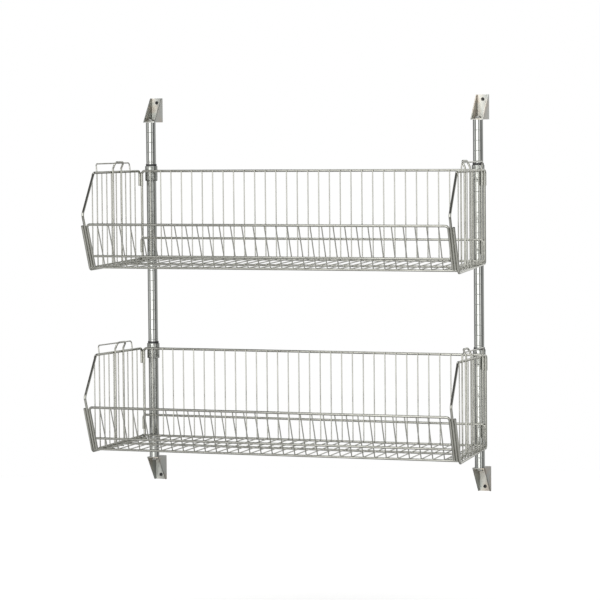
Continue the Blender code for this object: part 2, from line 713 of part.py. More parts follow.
def make_handle(prefix, side_name, side, parent):
    """Make a carrying handle, a bent wire whose two legs run down inside the panel."""
    foot = SIDE_DROP - SIDE_RADIUS - GAP
    bar_out = HANDLE_OUT - HANDLE_LEAN
    rear = HANDLE_CENTRE - HANDLE_WIDTH / 2
    front = HANDLE_CENTRE + HANDLE_WIDTH / 2
    corners = [panel_point(side, HANDLE_OUT, rear, foot - floor_lift(rear)),
               panel_point(side, HANDLE_OUT, rear, -HANDLE_SHOULDER_RISE),
               panel_point(side, bar_out, rear, -HANDLE_RISE),
               panel_point(side, bar_out, front, -HANDLE_RISE),
               panel_point(side, HANDLE_OUT, front, -HANDLE_SHOULDER_RISE),
               panel_point(side, HANDLE_OUT, front, foot - floor_lift(front))]
    route = rounded(corners, (HANDLE_BEND,) * 4, CORNER_STEPS)
    place = basket_point(side * BACK_HALF_LENGTH, 0.0, 0.0)
    wire(f"{prefix}_handle_{side_name}", [route], RAIL_WIRE, parent, place=place,
         turn=side * SPLAY, resolution=1)


def make_side_wire(prefix, side_name, side, parent):
    """Make the straight floor wire that lies on the feet of an end panel's uprights."""
    rear = SIDE_WIRE_INSET
    front = TOP_DEPTH
    route = [panel_point(side, HANDLE_OUT, rear, SIDE_DROP - floor_lift(rear)),
             panel_point(side, HANDLE_OUT, front, SIDE_DROP - floor_lift(front))]
    place = basket_point(side * BACK_HALF_LENGTH, 0.0, 0.0)
    wire(f"{prefix}_side_wire_{side_name}", [route], SIDE_WIRE, parent, place=place,
         turn=side * SPLAY)


def make_basket(prefix, groove):
    """Make one basket under an empty that stands on its sliding axis at rim height."""
    carrier = bpy.data.objects.new(f"{prefix}_slide", None)
    carrier.empty_display_size = POST_STANDOFF
    carrier.location = (0, -POST_STANDOFF, rim_height(groove))
    PARTS.objects.link(carrier)
    make_rim(prefix, carrier)
    make_lip(prefix, carrier)
    make_back_rail(prefix, carrier)
    make_straight_rails(prefix, carrier)
    make_mat(prefix, carrier)
    for side_name, side in (("left", -1), ("right", 1)):
        make_end_panel(prefix, side_name, side, carrier)
        make_side_wire(prefix, side_name, side, carrier)
        make_handle(prefix, side_name, side, carrier)
        make_collar(f"{prefix}_collar_{side_name}", side, carrier)


def main():
    """Build the posts with their wall fittings and sleeves, then the two baskets."""
    heights = groove_heights()
    levels = (("upper", heights[-UPPER_GROOVES_DOWN]), ("lower", heights[LOWER_GROOVES_UP]))
    for side_name, side in (("left", -1), ("right", 1)):
        make_post(side_name, side)
        for end_name, end in (("top", 1), ("bottom", -1)):
            make_plug(f"plug_{end_name}_{side_name}", side, end)
            make_bracket(f"bracket_{end_name}_{side_name}", side, end)
            make_bolt(f"bolt_{end_name}_{side_name}", side, end)
        for level, groove in levels:
            make_sleeve_half(f"{level}_sleeve_{side_name}_front", side, groove, -1)
            make_sleeve_half(f"{level}_sleeve_{side_name}_back", side, groove, 1)
    for level, groove in levels:
        make_basket(level, groove)


main()
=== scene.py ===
"""Looks of the wall-mounted unit: two long wire baskets hung on two grooved posts.

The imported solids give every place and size. Each class below repeats the sizes of one
sub-assembly, builds its pieces as finer surfaces in the same places and dresses them in
plated wire, plated tube, zinc sheet or black plastic. Lengths are metres, the wall is the
plane Y = 0 and the room is at -Y.
"""
import logging
import math
from collections.abc import Callable
from dataclasses import dataclass, field
from enum import Enum

import bpy
import numpy as np
from mathutils import Matrix


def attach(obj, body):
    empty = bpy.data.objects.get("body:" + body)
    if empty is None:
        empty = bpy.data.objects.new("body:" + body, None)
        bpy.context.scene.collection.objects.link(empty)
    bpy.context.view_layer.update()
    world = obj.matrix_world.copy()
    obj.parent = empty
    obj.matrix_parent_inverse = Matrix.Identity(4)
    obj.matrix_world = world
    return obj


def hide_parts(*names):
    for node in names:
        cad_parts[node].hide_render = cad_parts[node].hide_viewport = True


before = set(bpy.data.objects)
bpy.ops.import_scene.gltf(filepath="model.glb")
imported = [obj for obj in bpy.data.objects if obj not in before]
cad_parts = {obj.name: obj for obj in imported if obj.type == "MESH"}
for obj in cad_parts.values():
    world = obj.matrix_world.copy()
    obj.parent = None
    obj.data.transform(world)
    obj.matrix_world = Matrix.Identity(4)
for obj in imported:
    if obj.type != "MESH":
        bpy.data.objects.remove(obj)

MM = 0.001
TURN = 2.0 * math.pi
LOG = logging.getLogger("basket_unit")

# Facets round thick and thin wires, the break of a cut end as a share of the wire's
# diameter, and the angles in degrees above which an edge stays sharp.
ROUND_SIDES = 16
THIN_SIDES = 12
CUT_EDGE = 0.09
SOFT_ANGLE = 40.0
CRISP_ANGLE = 25.0

# Directions, and the quarter turn that lays the Z axis along -Y.
UP = np.array([0.0, 0.0, 1.0])
TO_WALL = np.array([0.0, 1.0, 0.0])
SIDEWAYS = np.array([1.0, 0.0, 0.0])
TIPPED = np.array([[1.0, 0.0, 0.0], [0.0, 0.0, -1.0], [0.0, 1.0, 0.0]])

Pair = tuple[float, float]
Triple = tuple[float, float, float]
Steps = tuple[Pair, ...]
Socket = bpy.types.NodeSocket


class Choice(Enum):
    """A named option whose lower-case name goes into the names of pieces."""

    @property
    def label(self) -> str:
        """Name in lower case."""
        return self.name.lower()


class Side(Choice):
    """The left or right half of the unit, as seen from the room."""

    LEFT = -1
    RIGHT = 1


class End(Choice):
    """The head or the foot of a post."""

    TOP = 1
    BOTTOM = -1

    @property
    def flip(self) -> np.ndarray:
        """Rotation that turns a fitting made for the head over for this end."""
        return np.diag([float(self.value), 1.0, float(self.value)])


class Half(Choice):
    """The room side or the wall side of a split sleeve."""

    FRONT = -1
    BACK = 1


class Level(Choice):
    """The upper or the lower basket, by its groove counted from the post's foot."""

    UPPER = 29
    LOWER = 11


class Slot(Enum):
    """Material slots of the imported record."""

    WIRE = "bright_wire"
    TUBE = "bright_tube"
    SHEET = "zinc_sheet"
    BOLT = "zinc_bolt"
    PLASTIC = "black_plastic"


class Source(Enum):
    """Coordinates that a pattern is read at."""

    OBJECT = "Object"
    UV = "UV"


# ---------------------------------------------------------------- surfaces


@dataclass
class Surface:
    """A closed surface as whole arrays: points, faces and one UV pair per face corner."""

    points: np.ndarray
    faces: list[list[int]]
    uv: np.ndarray

    def moved(self, offset: np.ndarray) -> "Surface":
        """Return the surface shifted by an offset."""
        return Surface(self.points + offset, self.faces, self.uv)

    def mapped(self, matrix: np.ndarray, offset: np.ndarray) -> "Surface":
        """Return the surface turned by a 3 by 3 rotation and then shifted."""
        return Surface(self.points @ matrix.T + offset, self.faces, self.uv)


def joined(surfaces: list[Surface]) -> Surface:
    """Return several surfaces as one, whose faces count on through all the points.

    Args:
        surfaces: the surfaces, in order.

    Returns:
        The one surface.
    """
    starts = np.cumsum([0] + [len(part.points) for part in surfaces[:-1]])
    faces = [[corner + int(start) for corner in face]
             for start, part in zip(starts, surfaces) for face in part.faces]
    return Surface(np.vstack([part.points for part in surfaces]), faces,
                   np.vstack([part.uv for part in surfaces]))


def unit(vectors: np.ndarray) -> np.ndarray:
    """Return vectors divided by their own lengths."""
    return vectors / np.linalg.norm(vectors, axis=-1, keepdims=True)


def distances(path: np.ndarray) -> np.ndarray:
    """Return how far each point of a path lies from its first one, along the path."""
    return np.concatenate([[0.0], np.cumsum(np.linalg.norm(np.diff(path, axis=0), axis=1))])


def spokes(angle: np.ndarray) -> np.ndarray:
    """Return the cosine and the sine of each angle, as pairs."""
    return np.stack([np.cos(angle), np.sin(angle)], axis=1)


def circle(sides: int) -> np.ndarray:
    """Return the spokes of a full turn in equal steps."""
    return spokes(np.linspace(0.0, TURN, sides, endpoint=False))


def stacked(profile: np.ndarray, ring: np.ndarray) -> np.ndarray:
    """Return a ring's points for each point of a profile.

    A point is the profile's radius times the ring's cosine and sine, at its height.

    Args:
        profile: radius and height of each ring, shape (n, 2).
        ring: the spokes of a ring, shape (m, 2).

    Returns:
        The points, ring by ring, shape (n * m, 3).
    """
    heights = np.repeat(profile[:, None, 1:], len(ring), axis=1)
    return np.concatenate([profile[:, None, :1] * ring[None], heights], axis=2).reshape(-1, 3)


def grid_faces(rows: int, columns: int, wrap: bool) -> np.ndarray:
    """Return the quads of a grid of points, one row of corner numbers for each quad.

    Args:
        rows: number of point rows.
        columns: number of points in a row.
        wrap: whether the last point of a row joins its first.

    Returns:
        An array of shape (quads, 4), wound so that they face outwards where the rows run
        anticlockwise, seen from where the rows count on to.
    """
    across = columns if wrap else columns - 1
    row, column = np.meshgrid(np.arange(rows - 1), np.arange(across), indexing="ij")
    after = (column + 1) % columns
    quads = np.stack([row * columns + column, row * columns + after,
                      (row + 1) * columns + after, (row + 1) * columns + column], axis=-1)
    return quads.reshape(-1, 4)


def grid_uv(along: np.ndarray, around: np.ndarray) -> np.ndarray:
    """Return the UV pairs of a grid's quads, with the seam closed.

    Args:
        along: distance of each row.
        around: distance of each column line, one more than the columns where rows wrap.

    Returns:
        An array of shape (quads * 4, 2) in the order that grid_faces gives.
    """
    row, column = np.meshgrid(np.arange(len(along) - 1), np.arange(len(around) - 1),
                              indexing="ij")
    u = np.stack([around[column], around[column + 1], around[column + 1], around[column]], -1)
    v = np.stack([along[row], along[row], along[row + 1], along[row + 1]], -1)
    return np.stack([u, v], axis=-1).reshape(-1, 2)


def flat_uv(points: np.ndarray, faces: list[list[int]]) -> np.ndarray:
    """Return the X and Y of every face corner, as UV pairs."""
    return points[[corner for face in faces for corner in face]][:, :2]


def lids(rows: int, sides: int) -> list[list[int]]:
    """Return the flat faces that close the first and the last of a stack of rings."""
    last = (rows - 1) * sides
    return [list(range(sides - 1, -1, -1)), list(range(last, last + sides))]


def pole_fans(rows: int, sides: int) -> list[list[int]]:
    """Return the triangles from a stack of rings to a pole below and a pole above.

    Args:
        rows: number of rings.
        sides: points in a ring.

    Returns:
        The triangles. The poles are the two points after the last ring.
    """
    near, low = np.arange(sides), rows * sides
    after, top = (near + 1) % sides, (rows - 1) * sides
    fans = np.vstack([np.stack([after, near, np.full(sides, low)], 1),
                      np.stack([near + top, after + top, np.full(sides, low + 1)], 1)])
    return fans.tolist()


def bent(corners: np.ndarray, radii: tuple[float, ...], steps: int = 8) -> np.ndarray:
    """Return a path whose inner corners are bent to arcs.

    At each corner the arc touches both legs at radius times the tangent of half the turn
    from the corner. Its points are the centre plus the first spoke times the cosine, and
    the incoming direction times the radius and the sine, of evenly spaced angles.

    Args:
        corners: the sharp corners, shape (n, 3).
        radii: one bend radius for each of the n - 2 inner corners.
        steps: straight pieces in each arc.

    Returns:
        The points of the path, shape (m, 3).
    """
    pieces = [corners[:1]]
    for before, corner, after, radius in zip(corners, corners[1:], corners[2:], radii):
        back, ahead = unit(before - corner), unit(after - corner)
        turn = math.pi - math.acos(float(np.clip(back @ ahead, -1.0, 1.0)))
        start = corner + back * radius * math.tan(turn / 2)
        centre = corner + unit(back + ahead) * radius / math.cos(turn / 2)
        angle = np.linspace(0.0, turn, steps + 1)[:, None]
        pieces.append(centre + (start - centre) * np.cos(angle) - back * radius * np.sin(angle))
    pieces.append(corners[-1:])
    return np.vstack(pieces)


def softened(outline: list[Pair], radius: float, steps: int = 4) -> np.ndarray:
    """Return a closed outline with its corners rounded.

    Args:
        outline: the corners as pairs, in order round the loop.
        radius: radius of every corner.
        steps: straight pieces in each rounded corner.

    Returns:
        The loop's points, shape (n, 2), without a repeated first point.
    """
    flat = np.column_stack([np.array(outline), np.zeros(len(outline))])
    middle = (flat[:1] + flat[-1:]) / 2
    path = bent(np.vstack([middle, flat, middle]), (radius,) * len(flat), steps)
    return path[:-1, :2]


def wire(path: np.ndarray, diameter: float, plane: np.ndarray,
         sides: int = ROUND_SIDES) -> Surface:
    """Return a round wire along a path, with its cut ends lightly broken.

    Each ring is the path's point plus the radius times the cosine and sine of the angle
    on two axes square to the path: the side axis, which is the plane's normal crossed
    with the path's direction, and the one square to both.

    Args:
        path: points of the centre line, shape (n, 3).
        diameter: diameter of the wire.
        plane: normal of the plane that the path bends in, which it is never parallel to.
        sides: facets round the wire.

    Returns:
        The closed surface, with UV as metres round and along the wire.
    """
    radius, edge = diameter / 2, diameter * CUT_EDGE
    step = unit(np.diff(path, axis=0))
    route = np.vstack([path[:1], path[:1] + step[:1] * edge, path[1:-1],
                       path[-1:] - step[-1:] * edge, path[-1:]])
    legs = unit(np.diff(route, axis=0))
    heading = unit(np.vstack([legs[:1], legs[:-1] + legs[1:], legs[-1:]]))
    reach = np.full((len(route), 1, 1), radius)
    reach[[0, -1]] = radius - edge
    side = unit(np.cross(plane, heading))
    rise = np.cross(heading, side)
    ring = circle(sides)
    spread = ring[:, :1] * side[:, None] + ring[:, 1:] * rise[:, None]
    points = (route[:, None] + reach * spread).reshape(-1, 3)
    faces = grid_faces(len(route), sides, True).tolist() + lids(len(route), sides)
    around = np.linspace(0.0, TURN * radius, sides + 1)
    uv = np.vstack([grid_uv(distances(route), around), ring[::-1] * radius, ring * radius])
    return Surface(points, faces, uv)


def turned(profile: np.ndarray, sides: int = 64, start: float = 0.0,
           sweep: float = TURN) -> Surface:
    """Return a ring: a closed profile turned round the Z axis.

    Args:
        profile: radius and height of each point, shape (n, 2). It climbs on its outer side.
        sides: facets in the whole sweep.
        start: first angle.
        sweep: angle turned through. Below a full turn both ends are closed flat.

    Returns:
        The closed surface, with UV as metres round and along the profile.
    """
    whole, rows = sweep == TURN, len(profile)
    count = sides if whole else sides + 1
    angle = start + np.linspace(0.0, sweep, count, endpoint=not whole)
    faces = (grid_faces(rows + 1, count, whole) % (rows * count)).tolist()
    uv = grid_uv(distances(np.vstack([profile, profile[:1]])),
                 np.linspace(0.0, sweep * profile[:, 0].max(), sides + 1))
    if not whole:
        faces += [[row * count for row in range(rows - 1, -1, -1)],
                  [row * count + count - 1 for row in range(rows)]]
        uv = np.vstack([uv, profile[::-1], profile])
    return Surface(stacked(profile, spokes(angle)), faces, uv)


def spun(profile: np.ndarray, sides: int = 40) -> Surface:
    """Return a solid: a profile turned round the Z axis, with a pole at each end.

    Args:
        profile: radius and height of each point from the lower pole to the upper one,
            shape (n, 2). Both poles lie on the axis.
        sides: facets round the solid.

    Returns:
        The closed surface, with UV as metres round and along the profile.
    """
    rings, fans = profile[1:-1], pole_fans(len(profile) - 2, sides)
    poles = np.column_stack([np.zeros((2, 2)), profile[[0, -1], 1]])
    points = np.vstack([stacked(rings, circle(sides)), poles])
    around = np.linspace(0.0, TURN * rings[:, 0].max(), sides + 1)
    uv = np.vstack([grid_uv(distances(rings), around), flat_uv(points, fans)])
    return Surface(points, grid_faces(len(rings), sides, True).tolist() + fans, uv)


def beads(centres: np.ndarray, axes: np.ndarray, sides: int = 8, rows: int = 5) -> Surface:
    """Return small weld beads, one squashed ball at each centre.

    A ball's point is its centre plus the cosine of the latitude times a circle in the
    bead's own plane, plus the sine of the latitude along its normal, each times the
    bead's own half size on that axis.

    Args:
        centres: places of the beads, shape (n, 3).
        axes: three half-size vectors for each bead, shape (n, 3, 3).
        sides: facets round a bead.
        rows: rings of points from pole to pole, without the poles.

    Returns:
        All beads as one surface.
    """
    latitude = np.linspace(-math.pi / 2, math.pi / 2, rows + 2)[1:-1]
    ball = np.vstack([stacked(spokes(latitude), circle(sides)), -UP, UP])
    points = centres[:, None] + np.einsum("pk,nkc->npc", ball, axes)
    faces = grid_faces(rows, sides, True).tolist() + pole_fans(rows, sides)
    blank = np.zeros((sum(map(len, faces)), 2))
    return joined([Surface(place, faces, blank) for place in points])


# ---------------------------------------------------------------- finishes


class Bench:
    """A node tree under construction."""

    def __init__(self, tree: bpy.types.NodeTree) -> None:
        """Take up a node tree."""
        self.tree = tree

    def feed(self, socket: Socket, value: object) -> None:
        """Link a socket to another one, or set it to a plain value."""
        if isinstance(value, Socket):
            self.tree.links.new(value, socket)
        else:
            socket.default_value = value

    def fill(self, made: bpy.types.Node, inputs: dict[str, object]) -> None:
        """Feed a node's sockets by name, with underscores for spaces."""
        for name, value in inputs.items():
            self.feed(made.inputs[name.replace("_", " ")], value)

    def node(self, kind: str, **inputs: object) -> bpy.types.Node:
        """Return a new node of a kind, with its sockets fed by name."""
        made = self.tree.nodes.new(kind)
        self.fill(made, inputs)
        return made

    def maths(self, operation: str, *inputs: object) -> Socket:
        """Return the result of a Math node.

        Args:
            operation: the node's operation.
            inputs: up to three numbers or sockets.

        Returns:
            The result.
        """
        made = self.tree.nodes.new("ShaderNodeMath")
        made.operation = operation
        for socket, value in zip(made.inputs, inputs):
            self.feed(socket, value)
        return made.outputs[0]

    def curve(self, value: Socket, steps: Steps) -> Socket:
        """Return a level read off straight lines between given places from 0 to 1.

        Args:
            value: the place to read at.
            steps: pairs of a place and its level, from place 0 to place 1.

        Returns:
            The level.
        """
        made = self.node("ShaderNodeFloatCurve", Value=value)
        line, scale = made.mapping.curves[0], max(level for _, level in steps)
        for place, level in steps[1:-1]:
            line.points.new(place, level / scale)
        line.points[0].location = (steps[0][0], steps[0][1] / scale)
        line.points[-1].location = (steps[-1][0], steps[-1][1] / scale)
        for point in line.points:
            point.handle_type = "VECTOR"
        made.mapping.update()
        return self.maths("MULTIPLY", made.outputs[0], scale)

    def rays(self) -> tuple[Socket, Socket]:
        """Return whether a ray is the eye's, and whether it comes off metal or through glass."""
        ray = self.node("ShaderNodeLightPath").outputs
        mirrored = self.maths("MAXIMUM", ray["Is Glossy Ray"], ray["Is Transmission Ray"])
        return ray["Is Camera Ray"], mirrored


@dataclass(frozen=True)
class Grain:
    """A noise over a piece: its scale, detail, roughness, coordinates and their stretch."""

    scale: float
    detail: float = 2.0
    roughness: float = 0.5
    source: Source = Source.OBJECT
    stretch: Triple = (1.0, 1.0, 1.0)


class Recipe(Bench):
    """A material under construction, with its Principled shader."""

    def __init__(self, name: str) -> None:
        """Start a material of a name with a bare Principled shader."""
        self.material = bpy.data.materials.new(name)
        self.material.use_nodes = True
        super().__init__(self.material.node_tree)

    def set(self, **values: object) -> None:
        """Feed the shader's sockets by name, with underscores for spaces."""
        self.fill(self.tree.nodes["Principled BSDF"], values)

    def position(self, source: Source, stretch: Triple) -> Socket:
        """Return a source's coordinates, stretched by a scale on each axis."""
        place = self.node("ShaderNodeTexCoord").outputs[source.value]
        return self.node("ShaderNodeMapping", Vector=place, Scale=stretch).outputs["Vector"]

    def noise(self, grain: Grain) -> Socket:
        """Return the value of a grain's noise."""
        return self.node("ShaderNodeTexNoise", Vector=self.position(grain.source, grain.stretch),
                         Scale=grain.scale, Detail=grain.detail,
                         Roughness=grain.roughness).outputs["Fac"]

    def spread(self, value: Socket, onto: Pair, span: Pair = (0.3, 0.7)) -> Socket:
        """Return a value stretched from a span onto another one."""
        made = self.node("ShaderNodeMapRange", Value=value, From_Min=span[0], From_Max=span[1],
                         To_Min=onto[0], To_Max=onto[1])
        return made.outputs["Result"]

    def blend(self, value: Socket, span: Pair, low: object, high: object) -> Socket:
        """Return a colour between two others, as a value goes through a span.

        Args:
            value: what decides.
            span: the values at which the low and the high colour are reached.
            low: a colour or a socket.
            high: another one.

        Returns:
            The colour, by a Mix node whose inputs 6 and 7 are the two colours.
        """
        made = self.tree.nodes.new("ShaderNodeMix")
        made.data_type = "RGBA"
        self.feed(made.inputs[0], self.spread(value, (0.0, 1.0), span))
        for socket, colour in ((made.inputs[6], low), (made.inputs[7], high)):
            self.feed(socket, (*colour, 1.0) if isinstance(colour, tuple) else colour)
        return made.outputs[2]


@dataclass(frozen=True)
class Coat:
    """A finish ready for use: its material and the record's slot that it stands for."""

    material: bpy.types.Material
    slot: Slot


@dataclass(frozen=True)
class Finish:
    """A skin whose two tones and two roughnesses are mixed by one grain, the cloud.

    Its relief follows the bump grain where it names one, and else the cloud.
    """

    name: str
    slot: Slot
    dark: Triple
    light: Triple
    cloud: Grain
    roughness: Pair
    strength: float
    depth: float
    bump: Grain | None = None
    span: Pair = (0.3, 0.7)
    metallic: float = 1.0

    def coat(self) -> Coat:
        """Return the finish as a material with its slot."""
        recipe = Recipe(self.name)
        cloud = recipe.noise(self.cloud)
        bump = recipe.noise(self.bump) if self.bump else cloud
        relief = recipe.node("ShaderNodeBump", Height=bump, Strength=self.strength,
                             Distance=self.depth)
        recipe.set(Base_Color=self.tone(recipe, cloud), Metallic=self.metallic,
                   Roughness=recipe.spread(cloud, self.roughness),
                   Normal=relief.outputs["Normal"])
        return Coat(recipe.material, self.slot)

    def tone(self, recipe: Recipe, cloud: Socket) -> Socket:
        """Return the colour, from the dark tone to the light one."""
        return recipe.blend(cloud, self.span, self.dark, self.light)


@dataclass(frozen=True)
class DrawnWire(Finish):
    """Bright zinc on drawn wire: fine lines along the wire and a faintly cloudy plate."""

    name: str = "bright_zinc_wire"
    slot: Slot = Slot.WIRE
    dark: Triple = (0.455, 0.455, 0.415)
    light: Triple = (0.535, 0.535, 0.489)
    cloud: Grain = Grain(24.0)
    roughness: Pair = (0.17, 0.09)
    bump: Grain = Grain(1.0, source=Source.UV, stretch=(2600.0, 6.0, 1.0))
    strength: float = 0.06
    depth: float = 0.01 * MM


@dataclass(frozen=True)
class PlatedTube(Finish):
    """Bright chrome on drawn tube: mirror-like, with faint polishing lines round it."""

    name: str = "bright_chrome_tube"
    slot: Slot = Slot.TUBE
    dark: Triple = (0.42, 0.43, 0.414)
    light: Triple = (0.50, 0.51, 0.493)
    cloud: Grain = Grain(60.0, 4.0, stretch=(1.0, 1.0, 0.25))
    roughness: Pair = (0.12, 0.06)
    bump: Grain = Grain(1.0, stretch=(20.0, 20.0, 2200.0))
    strength: float = 0.15
    depth: float = 0.005 * MM


@dataclass(frozen=True)
class CastCollar(Finish):
    """Plated collar with the uneven, hammered skin that its welds and plating leave."""

    name: str = "plated_collar"
    slot: Slot = Slot.TUBE
    dark: Triple = (0.28, 0.29, 0.27)
    light: Triple = (0.52, 0.53, 0.51)
    cloud: Grain = Grain(170.0, 3.0, 0.6)
    roughness: Pair = (0.34, 0.16)
    strength: float = 0.7
    depth: float = 0.6 * MM
    span: Pair = (0.4, 0.62)


@dataclass(frozen=True)
class ZincSheet(Finish):
    """Passivated zinc on folded sheet: grey with straw and rose clouds and fine scratches.

    The dark tone is the plain grey and the light one is the straw.
    """

    name: str = "zinc_sheet"
    slot: Slot = Slot.SHEET
    dark: Triple = (0.46, 0.47, 0.445)
    light: Triple = (0.48, 0.445, 0.385)
    rose: Triple = (0.48, 0.415, 0.355)
    cloud: Grain = Grain(1.0, 3.0, stretch=(900.0, 900.0, 26.0))
    patches: Grain = Grain(26.0)
    tints: Grain = Grain(61.0)
    roughness: Pair = (0.27, 0.36)
    strength: float = 0.04
    depth: float = 0.03 * MM
    span: Pair = (0.42, 0.66)
    tint_span: Pair = (0.42, 0.62)

    def tone(self, recipe: Recipe, cloud: Socket) -> Socket:
        """Return the colour: grey, with patches of a tint between straw and rose."""
        tint = recipe.blend(recipe.noise(self.tints), self.tint_span, self.light, self.rose)
        return recipe.blend(recipe.noise(self.patches), self.span, self.dark, tint)


@dataclass(frozen=True)
class ZincBolt(Finish):
    """Dull zinc on a cold-headed bolt."""

    name: str = "zinc_bolt"
    slot: Slot = Slot.BOLT
    dark: Triple = (0.36, 0.36, 0.34)
    light: Triple = (0.58, 0.58, 0.55)
    cloud: Grain = Grain(420.0, 3.0)
    roughness: Pair = (0.28, 0.46)
    strength: float = 0.4
    depth: float = 0.08 * MM


@dataclass(frozen=True)
class BlackPlastic(Finish):
    """Moulded black plastic with a fine matt grain."""

    name: str = "black_plastic"
    slot: Slot = Slot.PLASTIC
    dark: Triple = (0.018, 0.018, 0.019)
    light: Triple = (0.045, 0.045, 0.047)
    cloud: Grain = Grain(900.0)
    roughness: Pair = (0.38, 0.52)
    strength: float = 0.3
    depth: float = 0.05 * MM
    metallic: float = 0.0


@dataclass(frozen=True)
class StudioFloor:
    """White studio floor that keeps its shadows and shows white to the eye and to metal.

    Its glow falls by the dip towards the middle, where the lamps and the shadows lie. Metal
    sees it dark but for a pale ring, which the baskets' sloping front wires mirror.
    """

    name: str = "studio_floor"
    colour: Triple = (0.60, 0.60, 0.60)
    grain: Grain = Grain(3.0)
    roughness: Pair = (0.85, 0.95)
    eye_glow: float = 0.80
    dip: float = 0.20
    dip_radius: float = 0.9
    ring_reach: float = 2.6
    ring: Steps = (
        (0.0, 0.02), (0.20, 0.02), (0.28, 0.38), (0.64, 0.38), (0.70, 0.02), (1.0, 0.02))

    def material(self) -> bpy.types.Material:
        """Return the material."""
        recipe = Recipe(self.name)
        eye, mirrored = recipe.rays()
        bright = recipe.maths("MULTIPLY_ADD", self.nearness(recipe, self.dip_radius),
                              -self.dip, self.eye_glow)
        pale = recipe.curve(self.nearness(recipe, self.ring_reach), self.ring)
        glow = recipe.maths("MULTIPLY_ADD", mirrored, pale, recipe.maths("MULTIPLY", eye, bright))
        recipe.set(Base_Color=(*self.colour, 1.0), Emission_Color=(1.0, 1.0, 1.0, 1.0),
                   Roughness=recipe.spread(recipe.noise(self.grain), self.roughness),
                   Emission_Strength=glow)
        return recipe.material

    def nearness(self, recipe: Recipe, reach: float) -> Socket:
        """Return 1 at the floor's middle, falling evenly to 0 at a distance from it.

        Args:
            recipe: the material under construction.
            reach: the distance.

        Returns:
            The nearness.
        """
        place = recipe.position(Source.OBJECT, (1.0 / reach, 1.0 / reach, 0.0))
        spot = recipe.node("ShaderNodeTexGradient", Vector=place)
        spot.gradient_type = "SPHERICAL"
        return spot.outputs["Fac"]


class Wardrobe:
    """The unit's coats, each made once."""

    def __init__(self) -> None:
        """Make every coat."""
        self.wire = DrawnWire().coat()
        self.tube = PlatedTube().coat()
        self.collar = CastCollar().coat()
        self.sheet = ZincSheet().coat()
        self.bolt = ZincBolt().coat()
        self.plastic = BlackPlastic().coat()


def shaped(name: str, surface: Surface, material: bpy.types.Material,
           smooth_angle: float = SOFT_ANGLE) -> bpy.types.Object:
    """Return a new object with a surface's mesh, a UV map and one material.

    Args:
        name: name of the object.
        surface: the closed surface, already in its place.
        material: what the object is made of.
        smooth_angle: edges sharper than this stay sharp, in degrees.

    Returns:
        The object, linked to the scene with its origin at the world's origin.
    """
    mesh = bpy.data.meshes.new(name)
    mesh.from_pydata(surface.points.tolist(), [], surface.faces)
    mesh.uv_layers.new(name="UVMap").data.foreach_set("uv", surface.uv.ravel())
    mesh.materials.append(material)
    mesh.shade_smooth()
    mesh.set_sharp_from_angle(angle=math.radians(smooth_angle))
    piece = bpy.data.objects.new(name, mesh)
    bpy.context.scene.collection.objects.link(piece)
    return piece


def publish(piece: bpy.types.Object, body: str, slot: Slot, *nodes: str) -> None:
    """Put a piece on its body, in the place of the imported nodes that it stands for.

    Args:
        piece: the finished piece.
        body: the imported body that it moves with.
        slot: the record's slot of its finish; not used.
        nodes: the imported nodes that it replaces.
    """
    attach(piece, body)
    if nodes:
        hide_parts(*nodes)
    LOG.info("%s: %d faces on %s", piece.name, len(piece.data.polygons), body)


def cut(piece: bpy.types.Object, *tools: tuple[bpy.types.Object, str]) -> None:
    """Join other bodies to a piece or cut them out of it, and remove them.

    Args:
        piece: the piece to finish.
        tools: the other bodies, each with its Boolean operation.
    """
    for tool, way in tools:
        step = piece.modifiers.new(way.lower(), "BOOLEAN")
        step.operation, step.solver, step.object = way, "EXACT", tool
    graph = bpy.context.evaluated_depsgraph_get()
    done = bpy.data.meshes.new_from_object(piece.evaluated_get(graph))
    piece.modifiers.clear()
    piece.data = done
    done.shade_smooth()
    done.set_sharp_from_angle(angle=math.radians(CRISP_ANGLE))
    for tool, _ in tools:
        bpy.data.objects.remove(tool, do_unlink=True)


# ---------------------------------------------------------------- wall frame


